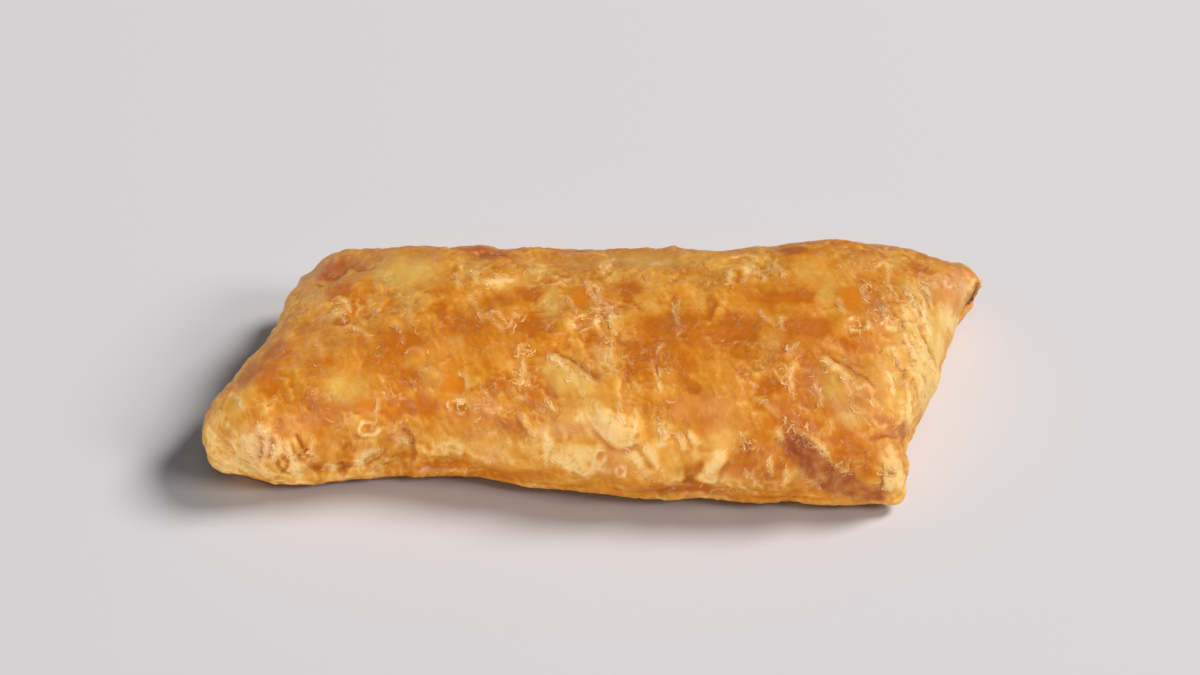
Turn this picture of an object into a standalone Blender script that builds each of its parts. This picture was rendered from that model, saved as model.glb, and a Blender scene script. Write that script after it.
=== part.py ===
"""A cream bougatsa: one hand-folded parcel of flaky pastry, baked shut round its cream.

The parcel is one solid. Its plan is a skewed oblong. A flat base lies on the table, the
side swells out of it to a rim, and the crust domes up from the rim like a pillow. Folds,
creases, blisters and flaky layers then stand out from that smooth pillow.
+X runs along the parcel, -Y is its front, +Z is up. The origin is under the middle.
"""

import math

import bmesh
import bpy
import numpy as np
from mathutils import Vector, geometry, noise
from mathutils.bvhtree import BVHTree

MM = 0.001

# Driving dimensions, in millimetres.
CROWN_HEIGHT = 33.4
RIM_HEIGHT = 12.0
CORNER_RIM_HEIGHT = 8.0
# How close to a corner the rim starts to dip: a higher power keeps the dip in the corner.
CORNER_SHARPNESS = 6

# The plan at the rim, as four sides that run round from the front left corner. Each side
# starts at its corner, and the points after it are the ones where the hand-made edge turns.
FRONT_SIDE = [(-95.0, -25.8), (-80.0, -32.3), (-43.5, -29.2), (11.5, -38.0), (57.5, -39.3)]
RIGHT_SIDE = [(71.7, -37.0), (74.7, -26.0), (83.7, -3.0), (89.3, 17.0)]
BACK_SIDE = [(98.0, 34.5), (81.5, 38.0), (62.5, 39.5), (40.0, 35.0), (-42.5, 35.0)]
LEFT_SIDE = [(-75.5, 34.5), (-79.5, 23.0), (-84.0, 3.0), (-93.0, -9.0), (-97.8, -19.0)]
CURVE_STEPS = 12

# How the crust rises over the plan. A higher squareness keeps the dome flat for longer
# before it falls to the rim, and a fullness under 0.5 makes a rounder shoulder than an ellipse.
END_SQUARENESS = 4.5
SIDE_SQUARENESS = 2.6
FULLNESS = 0.42

# The flat base, as shares of the plan: it stays this far inside the rim.
BASE_SHARE_ALONG = 0.93
BASE_SHARE_ACROSS = 0.84

# Mesh density. The grid closes up to EDGE_SPACING of an even spacing at the rim, the more
# sharply the higher the power.
CELLS_ALONG = 88
CELLS_ACROSS = 38
SIDE_RINGS = 8
EDGE_SPACING = 0.3
POWER_ALONG = 7.0
POWER_ACROSS = 3.0

# Folds and creases: how far each stands out (a crease has a minus), its half width, and the
# points that it runs through. Each point is laid on the nearest place on the pillow.
FOLDS = {
    "diagonal crease": (-1.8, 2.8, [(44, -35, 23.5), (49, -37, 18.5), (55, -38, 13), (65, -38.5, 8)]),
    "diagonal lip": (1.4, 2.6, [(36.5, -27, 29.5), (43.5, -32.5, 26.5), (50.5, -36, 22.5), (58, -38, 13.5)]),
    "front lobe": (1.9, 2.6, [(29.5, -37.5, 21), (27, -39, 17), (24, -38.5, 9.5)]),
    "front lobe crease": (-1.4, 2.0, [(25.5, -37, 20.5), (23.5, -37.5, 14.5), (21, -38, 8)]),
    "front notch": (-1.5, 2.0, [(-46, -27.5, 18), (-46, -27.5, 11), (-46, -28, 4.5)]),
    "notch roll": (1.2, 1.9, [(-51.5, -29.5, 17), (-46.5, -27.5, 14)]),
    "corner crease": (-1.3, 2.0, [(66.5, -38.5, 9.5), (72, -36, 15)]),
    "corner hollow": (-1.7, 2.8, [(66, -28.5, 21), (74, -27, 15)]),
    "back left crack": (-1.4, 2.2, [(-63, 26, 25), (-67, 21.5, 25.5), (-71, 15.5, 26)]),
    "back left wrinkle": (-1.0, 2.0, [(-52.5, 23, 29.5), (-58, 21, 29), (-64, 19, 27)]),
    "end flap edge": (1.0, 2.0, [(75, 25, 26), (78.5, 9, 27.5), (80, -2.5, 25), (76.5, -17, 18)]),
    "end flap hollow": (-1.0, 2.0, [(78.5, 26, 25.5), (81.5, 14.5, 25.5), (83, 3, 23)]),
    "end streak": (0.8, 1.8, [(71, 5, 29.5), (75.5, -5.5, 27.5), (78.5, -11, 22)]),
    "middle burst split": (-1.2, 1.9, [(-13, -11.5, 32), (-7, -16, 31), (0, -21.5, 30)]),
    "middle burst flake": (1.0, 2.4, [(-15, -14, 31.5), (-11, -20, 30.5), (-8.5, -26.5, 28)]),
    "end burst split": (-1.2, 1.9, [(55, -9, 31), (61, -13, 29), (68, -16.5, 26)]),
    "end burst flake": (1.0, 2.4, [(53, -12.5, 31), (57, -18, 29), (59, -24.5, 26.5)]),
    "front tongue": (1.0, 3.4, [(0.5, -26, 28.5), (3, -32.5, 26), (5.5, -36.5, 22)]),
    "front tongue crease": (-0.9, 2.0, [(9, -27, 28), (12, -32.5, 25), (13, -37, 20)]),
    "left valley": (-1.0, 2.8, [(-33, -19, 29), (-38, -26, 23.5), (-42.5, -28.5, 15)]),
    "long hollow": (-0.9, 4.0, [(-25.5, 18, 32.5), (-0.5, 22.5, 29.5), (26, 21, 31)]),
}

# The short ridges that wrinkle the front left corner, side by side.
WRINKLE_COUNT = 5
WRINKLE_STEP = (4.2, -0.7, 0.0)
WRINKLE_TOP = (-87.5, -29.0, 22.0)
WRINKLE_FOOT = (-84.0, -33.0, 10.0)
WRINKLE_HEIGHT = 1.2
LOW_WRINKLE_SHARE = 0.7
WRINKLE_HALF_WIDTH = 1.5

# Swellings: height, radius and centre, which is laid on the pillow like the folds.
SWELLINGS = {
    "pinched front right corner": (1.6, 5.0, (70.5, -36.5, 15.0)),
    "front left corner": (1.2, 6.0, (-81.5, -33.5, 10.5)),
    "blister cluster": (1.3, 3.8, (-64.0, 3.0, 30.0)),
    "back right shoulder": (1.0, 11.0, (62.5, 26.0, 30.0)),
    "back left shoulder": (0.8, 9.0, (-51.0, 27.0, 29.0)),
}

# Burst blisters: each has a raised rim round a sunk floor.
BURST_CENTRES = [(-5.5, -6.5, 33.5), (62.0, -4.0, 31.5), (-34.0, -25.0, 24.5), (-56.5, -29.0, 21.5)]
BURST_RADIUS = 3.4
BURST_RIM_HEIGHT = 1.0
BURST_RIM_WIDTH = 1.4
BURST_FLOOR_DEPTH = 0.8
BURST_FLOOR_RADIUS = 1.7

# The uneven surface between them: each row is a length and a height.
LUMPS = (34.0, 0.9)
PUCKERS = (12.0, 0.8)
CRAGS = (6.0, 0.45)
FLAKE_LENGTH = 15.0
FLAKE_STEP = 0.45
# How abruptly one flaky layer drops to the next.
FLAKE_EDGE = 5.0
# The noise repeats at its own origin, so each use of it is read from a different place.
NOISE_SHIFT = Vector((17.3, -9.1, 5.7))
FLAKE_SEED = 4
SEAM_SEED = 7

# The lower sheet of dough shows as a lip that runs round just above the table.
SEAM_LIP_HEIGHT = 3.4
SEAM_LIP = 0.9
SEAM_GROOVE_HEIGHT = 6.6
SEAM_GROOVE = 0.9
SEAM_HALF_HEIGHT = 1.5
# Its usual strength, and how far that strays from place to place.
SEAM_STRENGTH = 0.75
SEAM_VARIATION = 0.6

# Relief fades out below this height, so that the base stays flat.
SETTLE_HEIGHT = 4.0

CRUST_COLOUR = (0.66, 0.28, 0.06, 1.0)
CRUST_ROUGHNESS = 0.42
SHARP_ANGLE = math.radians(50)


def clear_scene():
    for obj in list(bpy.data.objects):
        bpy.data.objects.remove(obj)


def closed_outline(sides):
    """A smooth closed curve through the points of all sides, returned side by side."""
    points = [Vector((x, y, 0.0)) for side in sides for x, y in side]
    count = len(points)
    tangents = [(points[(i + 1) % count] - points[i - 1]).normalized() for i in range(count)]
    curves = []
    start = 0
    for side in sides:
        curve = []
        for i in range(start, start + len(side)):
            here, there = points[i], points[(i + 1) % count]
            reach = (there - here).length / 3.0
            out_handle = here + tangents[i] * reach
            in_handle = there - tangents[(i + 1) % count] * reach
            curve += geometry.interpolate_bezier(here, out_handle, in_handle, there, CURVE_STEPS)[:-1]
        curve.append(points[(start + len(side)) % count])
        curves.append(np.array(curve)[:, :2])
        start += len(side)
    return curves


def along(curve, shares):
    """Points of a polyline at the given shares of its length."""
    lengths = np.hypot(*np.diff(curve, axis=0).T)
    at = np.concatenate([[0.0], np.cumsum(lengths)]) / lengths.sum()
    return np.stack([np.interp(shares, at, curve[:, axis]) for axis in (0, 1)], axis=-1)


class Plan:
    """Maps (u, v), each from -1 to 1, onto the inside of the outline."""

    def __init__(self):
        front, right, back, left = closed_outline([FRONT_SIDE, RIGHT_SIDE, BACK_SIDE, LEFT_SIDE])
        self.front, self.right = front, right
        self.back, self.left = back[::-1], left[::-1]

    def at(self, u, v):
        s, t = (u + 1.0) / 2.0, (v + 1.0) / 2.0
        front, back = along(self.front, s), along(self.back, s)
        left, right = along(self.left, t), along(self.right, t)
        s, t = s[..., None], t[..., None]
        corners = (
            (1 - s) * (1 - t) * self.front[0]
            + s * (1 - t) * self.front[-1]
            + (1 - s) * t * self.back[0]
            + s * t * self.back[-1]
        )
        return (1 - t) * front + t * back + (1 - s) * left + s * right - corners


def grid_lines(cells, power):
    """Grid lines from -1 to 1 that close up towards both ends."""
    even = np.linspace(-1.0, 1.0, cells + 1)
    pull = (1.0 - EDGE_SPACING) / (power - 1.0)
    return even * (1.0 + pull) - pull * np.sign(even) * np.abs(even) ** power


def rim_height(u, v):
    """The rim dips at the corners, where the folded dough is pressed thin."""
    corner = np.abs(u * v) ** CORNER_SHARPNESS
    return RIM_HEIGHT + (CORNER_RIM_HEIGHT - RIM_HEIGHT) * corner


def crust_height(u, v):
    dome = (1.0 - np.abs(u) ** END_SQUARENESS) * (1.0 - np.abs(v) ** SIDE_SQUARENESS)
    rim = rim_height(u, v)
    return rim + (CROWN_HEIGHT - rim) * np.clip(dome, 0.0, 1.0) ** FULLNESS


def pillow(plan):
    """The smooth closed shell: the crust as a grid, the side as rings, the base as one face."""
    us, vs = grid_lines(CELLS_ALONG, POWER_ALONG), grid_lines(CELLS_ACROSS, POWER_ACROSS)
    u, v = np.meshgrid(us, vs, indexing="ij")
    xy = plan.at(u, v)
    z = crust_height(u, v)
    mesh = bmesh.new()
    grid = [
        [mesh.verts.new((xy[i, j, 0], xy[i, j, 1], z[i, j])) for j in range(CELLS_ACROSS + 1)]
        for i in range(CELLS_ALONG + 1)
    ]
    for i in range(CELLS_ALONG):
        for j in range(CELLS_ACROSS):
            mesh.faces.new((grid[i][j], grid[i + 1][j], grid[i + 1][j + 1], grid[i][j + 1]))

    edge = [(i, 0) for i in range(CELLS_ALONG)]
    edge += [(CELLS_ALONG, j) for j in range(CELLS_ACROSS)]
    edge += [(i, CELLS_ACROSS) for i in range(CELLS_ALONG, 0, -1)]
    edge += [(0, j) for j in range(CELLS_ACROSS, 0, -1)]
    edge_u = np.array([us[i] for i, j in edge])
    edge_v = np.array([vs[j] for i, j in edge])
    upper = [grid[i][j] for i, j in edge]
    for ring in range(1, SIDE_RINGS + 1):
        turn = ring / SIDE_RINGS * math.pi / 2.0
        inward = 1.0 - math.cos(turn)
        share_u = 1.0 - (1.0 - BASE_SHARE_ALONG) * inward
        share_v = 1.0 - (1.0 - BASE_SHARE_ACROSS) * inward
        ring_xy = plan.at(edge_u * share_u, edge_v * share_v)
        ring_z = rim_height(edge_u, edge_v) * (1.0 - math.sin(turn))
        lower = [mesh.verts.new((x, y, h)) for (x, y), h in zip(ring_xy, ring_z)]
        for k in range(len(edge)):
            after = (k + 1) % len(edge)
            mesh.faces.new((upper[after], upper[k], lower[k], lower[after]))
        upper = lower
    mesh.faces.new(upper[::-1])
    mesh.normal_update()
    return mesh


def noise_at(points, length, seed):
    """Smooth noise from about -1 to 1, with lumps of the given length."""
    shift = NOISE_SHIFT * seed
    return np.array([noise.noise(Vector(point) / length + shift) for point in points])


def fold(points, path, height, half_width):
    """A ridge or crease along a path, dying away at both of its ends."""
    spans = np.diff(path, axis=0)
    lengths = np.linalg.norm(spans, axis=1)
    nearest = np.full(len(points), np.inf)
    share = np.zeros(len(points))
    done = 0.0
    for start, span, length in zip(path, spans, lengths):
        part = np.clip((points - start) @ span / length**2, 0.0, 1.0)
        gap = np.linalg.norm(points - start - part[:, None] * span, axis=1)
        closer = gap < nearest
        nearest[closer] = gap[closer]
        share[closer] = ((done + part * length) / lengths.sum())[closer]
        done += length
    taper = 1.0 - (2.0 * share - 1.0) ** 4
    return height * taper * np.exp(-((nearest / half_width) ** 2))


def swelling(points, centre, height, radius):
    gap = np.linalg.norm(points - centre, axis=1)
    return height * np.exp(-((gap / radius) ** 2))


def burst_blister(points, centre):
    gap = np.linalg.norm(points - centre, axis=1)
    rim = BURST_RIM_HEIGHT * np.exp(-(((gap - BURST_RADIUS) / BURST_RIM_WIDTH) ** 2))
    return rim + swelling(points, centre, -BURST_FLOOR_DEPTH, BURST_FLOOR_RADIUS)


def left_wrinkles(points, lay):
    """Ridges side by side round the front left corner, every other one lower."""
    relief = np.zeros(len(points))
    for k in range(WRINKLE_COUNT):
        ends = np.array([WRINKLE_TOP, WRINKLE_FOOT]) + k * np.array(WRINKLE_STEP)
        height = WRINKLE_HEIGHT * (1.0 if k % 2 == 0 else LOW_WRINKLE_SHARE)
        relief += fold(points, lay(ends), height, WRINKLE_HALF_WIDTH)
    return relief


def seam(points):
    """The lip of the lower sheet, with the groove above it, stronger in some places."""
    height = points[:, 2]
    lip = SEAM_LIP * np.exp(-(((height - SEAM_LIP_HEIGHT) / SEAM_HALF_HEIGHT) ** 2))
    groove = SEAM_GROOVE * np.exp(-(((height - SEAM_GROOVE_HEIGHT) / SEAM_HALF_HEIGHT) ** 2))
    strength = SEAM_STRENGTH + SEAM_VARIATION * noise_at(points * (1.0, 1.0, 0.0), LUMPS[0], SEAM_SEED)
    return (lip - groove) * strength


def relief(points, lay):
    """How far the crust stands out from the pillow at each point. lay puts points on the pillow."""
    total = left_wrinkles(points, lay) + seam(points)
    for height, half_width, path in FOLDS.values():
        total += fold(points, lay(path), height, half_width)
    for height, radius, centre in SWELLINGS.values():
        total += swelling(points, lay([centre])[0], height, radius)
    for centre in lay(BURST_CENTRES):
        total += burst_blister(points, centre)
    for seed, (length, height) in enumerate((LUMPS, PUCKERS, CRAGS), start=1):
        total += height * noise_at(points, length, seed)
    total += FLAKE_STEP * np.tanh(FLAKE_EDGE * noise_at(points, FLAKE_LENGTH, FLAKE_SEED))
    return total * np.clip(points[:, 2] / SETTLE_HEIGHT, 0.0, 1.0)


def add_relief(mesh):
    """Moves each point of the shell along its own normal."""
    tree = BVHTree.FromBMesh(mesh)

    def lay(places):
        return np.array([tree.find_nearest(Vector(place))[0] for place in places])

    points = np.array([vert.co for vert in mesh.verts])
    for vert, out in zip(mesh.verts, relief(points, lay)):
        vert.co += vert.normal * out


def centre_over_origin(mesh):
    points = np.array([vert.co for vert in mesh.verts])
    low, high = points.min(axis=0), points.max(axis=0)
    middle = (low + high) / 2.0
    bmesh.ops.translate(mesh, vec=(-middle[0], -middle[1], -low[2]), verts=mesh.verts)


def crust_material():
    material = bpy.data.materials.new("baked crust")
    material.use_nodes = True
    shader = material.node_tree.nodes["Principled BSDF"]
    shader.inputs["Base Color"].default_value = CRUST_COLOUR
    shader.inputs["Roughness"].default_value = CRUST_ROUGHNESS
    shader.inputs["Metallic"].default_value = 0.0
    return material


def main():
    clear_scene()
    mesh = pillow(Plan())
    add_relief(mesh)
    centre_over_origin(mesh)
    bmesh.ops.scale(mesh, vec=(MM, MM, MM), verts=mesh.verts)
    data = bpy.data.meshes.new("bougatsa")
    mesh.to_mesh(data)
    mesh.free()
    data.shade_smooth()
    data.set_sharp_from_angle(angle=SHARP_ANGLE)
    data.materials.append(crust_material())
    obj = bpy.data.objects.new("bougatsa", data)
    bpy.context.scene.collection.objects.link(obj)


main()
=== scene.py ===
# The looks of one cream bougatsa: its flaky crust, the loose flakes on it and the scorched tip.
# Lengths are in millimetres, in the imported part's own frame, until a mesh is made from them.
import math
import random

import bmesh
import bpy
import numpy as np
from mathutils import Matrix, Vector, geometry, noise
from mathutils.bvhtree import BVHTree
from mathutils.kdtree import KDTree


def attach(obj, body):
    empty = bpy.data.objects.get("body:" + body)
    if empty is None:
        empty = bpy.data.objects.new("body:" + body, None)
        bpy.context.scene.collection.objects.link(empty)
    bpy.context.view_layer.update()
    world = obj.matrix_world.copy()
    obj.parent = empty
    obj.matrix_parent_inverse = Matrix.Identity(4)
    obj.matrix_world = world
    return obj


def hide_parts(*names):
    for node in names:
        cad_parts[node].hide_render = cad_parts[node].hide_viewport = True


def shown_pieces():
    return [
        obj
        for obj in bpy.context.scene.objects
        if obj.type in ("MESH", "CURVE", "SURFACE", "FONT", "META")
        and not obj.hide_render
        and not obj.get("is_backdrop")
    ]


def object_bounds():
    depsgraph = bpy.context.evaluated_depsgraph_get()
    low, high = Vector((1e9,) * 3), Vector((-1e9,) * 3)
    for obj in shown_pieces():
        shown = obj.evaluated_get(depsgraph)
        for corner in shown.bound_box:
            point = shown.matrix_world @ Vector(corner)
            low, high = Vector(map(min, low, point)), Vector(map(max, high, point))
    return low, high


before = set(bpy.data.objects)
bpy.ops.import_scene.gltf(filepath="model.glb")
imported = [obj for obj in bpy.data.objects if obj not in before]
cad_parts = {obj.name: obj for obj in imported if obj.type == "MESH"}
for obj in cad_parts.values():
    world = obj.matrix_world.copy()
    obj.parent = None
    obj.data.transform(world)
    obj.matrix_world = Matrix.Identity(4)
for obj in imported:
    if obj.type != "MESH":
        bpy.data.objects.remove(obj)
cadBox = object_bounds()
mm = 0.001
print("frame loaded")


def rise(x, low, high):  # 0 at low, 1 at high, eased at both ends
    t = np.clip((x - low) / (high - low), 0, 1)
    return t * t * (3 - 2 * t)


def mottle(points, size, seed, stretch=(1, 1, 1)):  # soft noise from -1 to 1, with lumps of that size
    spots = points / (np.array(stretch) * size) + (17.3 * seed, -9.1 * seed, 5.7 * seed)
    return np.array([noise.noise(Vector(s)) for s in spots.tolist()])


def wander(points, size, amount, seed):  # points pushed about, so that what is laid on them has ragged edges
    return points + amount * np.stack([mottle(points, size, seed + k) for k in range(3)], 1)


def unit(v):
    return v / np.maximum(np.linalg.norm(v, axis=-1, keepdims=True), 1e-9)


# the crust's own mesh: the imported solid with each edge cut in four, and a new underside

body = {
    "weld": 0.01,                 # mm within which corners are one
    "flatFacing": -0.99,          # the flat bottom faces down more than this
    "flatBelow": 0.1,             # and lies lower than this, mm
    "subdivisions": 2,
    "undersideSpacing": 1.4,   # mm between the points of the flat underside
    "undersideRows": 0.87,        # its rows stand that share of the spacing apart
    "undersideMargin": 0.9,
    "settledBelow": (0.3, 2.6),   # the relief fades out between these heights
}


def openCrust(node):
    bm = bmesh.new()
    bm.from_mesh(node.data)
    bmesh.ops.remove_doubles(bm, verts=bm.verts, dist=body["weld"] * mm)
    bottom = [f for f in bm.faces
              if f.normal.z < body["flatFacing"] and f.calc_center_median().z < body["flatBelow"] * mm]
    bmesh.ops.delete(bm, geom=bottom, context="FACES")
    bmesh.ops.join_triangles(bm, faces=bm.faces, angle_face_threshold=math.pi, angle_shape_threshold=math.pi)
    mesh = bpy.data.meshes.new("openCrust")
    bm.to_mesh(mesh)
    bm.free()
    return mesh


def closeUnderside(mesh):
    bm = bmesh.new()
    bm.from_mesh(mesh)
    rim = [e for e in bm.edges if e.is_boundary]
    rimVerts = list({v for e in rim for v in e.verts})
    place = {v: i for i, v in enumerate(rimVerts)}
    flat = [Vector((v.co.x, v.co.y)) for v in rimVerts]
    edges = [(place[e.verts[0]], place[e.verts[1]]) for e in rim]
    near = KDTree(len(flat))
    for i, p in enumerate(flat):
        near.insert((p.x, p.y, 0), i)
    near.balance()
    step = body["undersideSpacing"] * mm
    low, high = cadBox
    inner = []
    for row in range(int((high.y - low.y) / (step * body["undersideRows"])) + 1):
        for col in range(int((high.x - low.x) / step) + 1):
            p = Vector((low.x + (col + 0.5 * (row % 2)) * step, low.y + row * step * body["undersideRows"]))
            if near.find((p.x, p.y, 0))[2] > body["undersideMargin"] * mm:
                inner.append(p)
    points, _, faces, source, _, _ = geometry.delaunay_2d_cdt(flat + inner, edges, [], 1, 1e-7)
    made, filled = {}, []
    for face in faces:
        corners = []
        for i in face:
            if i not in made:
                old = source[i][0]
                made[i] = rimVerts[old] if old < len(rimVerts) else bm.verts.new((*points[i], 0))
            corners.append(made[i])
        filled.append(bm.faces.new(corners))
    shared = {v for e in bm.edges if len(e.link_faces) > 2 for v in e.verts}   # the crust covers this already
    doubled = [f for f in filled if shared.issuperset(f.verts)]
    bmesh.ops.delete(bm, geom=doubled, context="FACES")
    bmesh.ops.recalc_face_normals(bm, faces=bm.faces)
    faults = sum(not e.is_manifold for e in bm.edges)
    print("underside:", len(filled) - len(doubled), "faces,", faults, "open or shared edges")
    bm.to_mesh(mesh)
    bm.free()
    return mesh


def fineCrust():
    rough = bpy.data.objects.new("roughCrust", openCrust(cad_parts["bougatsa"]))
    bpy.context.scene.collection.objects.link(rough)
    finer = rough.modifiers.new("finer", "SUBSURF")
    finer.levels = finer.render_levels = body["subdivisions"]
    bpy.context.view_layer.update()
    mesh = bpy.data.meshes.new_from_object(rough.evaluated_get(bpy.context.evaluated_depsgraph_get()))
    bpy.data.objects.remove(rough)
    return closeUnderside(mesh)


def readPoints(mesh):
    points = np.zeros(len(mesh.vertices) * 3)
    normals = np.zeros(len(mesh.vertices) * 3)
    mesh.vertices.foreach_get("co", points)
    mesh.vertex_normals.foreach_get("vector", normals)
    return points.reshape(-1, 3) / mm, normals.reshape(-1, 3)


crustMesh = fineCrust()
points, normals = readPoints(crustMesh)
settle = rise(points[:, 2], *body["settledBelow"])
topness = rise(normals[:, 2], 0.35, 0.85)   # 1 where the crust faces up, 0 on its flanks
print("fine crust:", len(points), "points")


def lumps(kind, seed, stretch=(1, 1, 1)):  # mottle over the crust, of a size and height given as a pair
    size, high = kind
    return high * mottle(points, size, seed, stretch)


def twoLumps(big, small, seed, share=0.4):  # lumps with smaller ones on them
    return mottle(points, big, seed) + share * mottle(points, small, seed + 1)


def bell(place, radius):  # 1 at a place, easing to 0 round it
    return np.exp(-((np.linalg.norm(points - np.array(place), axis=1) / radius) ** 2))


def treeOver(places):  # finds the nearest spot on the crust when its points are at those places
    return BVHTree.FromPolygons([Vector(p) for p in places.tolist()],
                                [tuple(f.vertices) for f in crustMesh.polygons])

# patches of tone. Each is (x, y, z, half length, half width, turn in degrees, strength), lying on the crust

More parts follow.
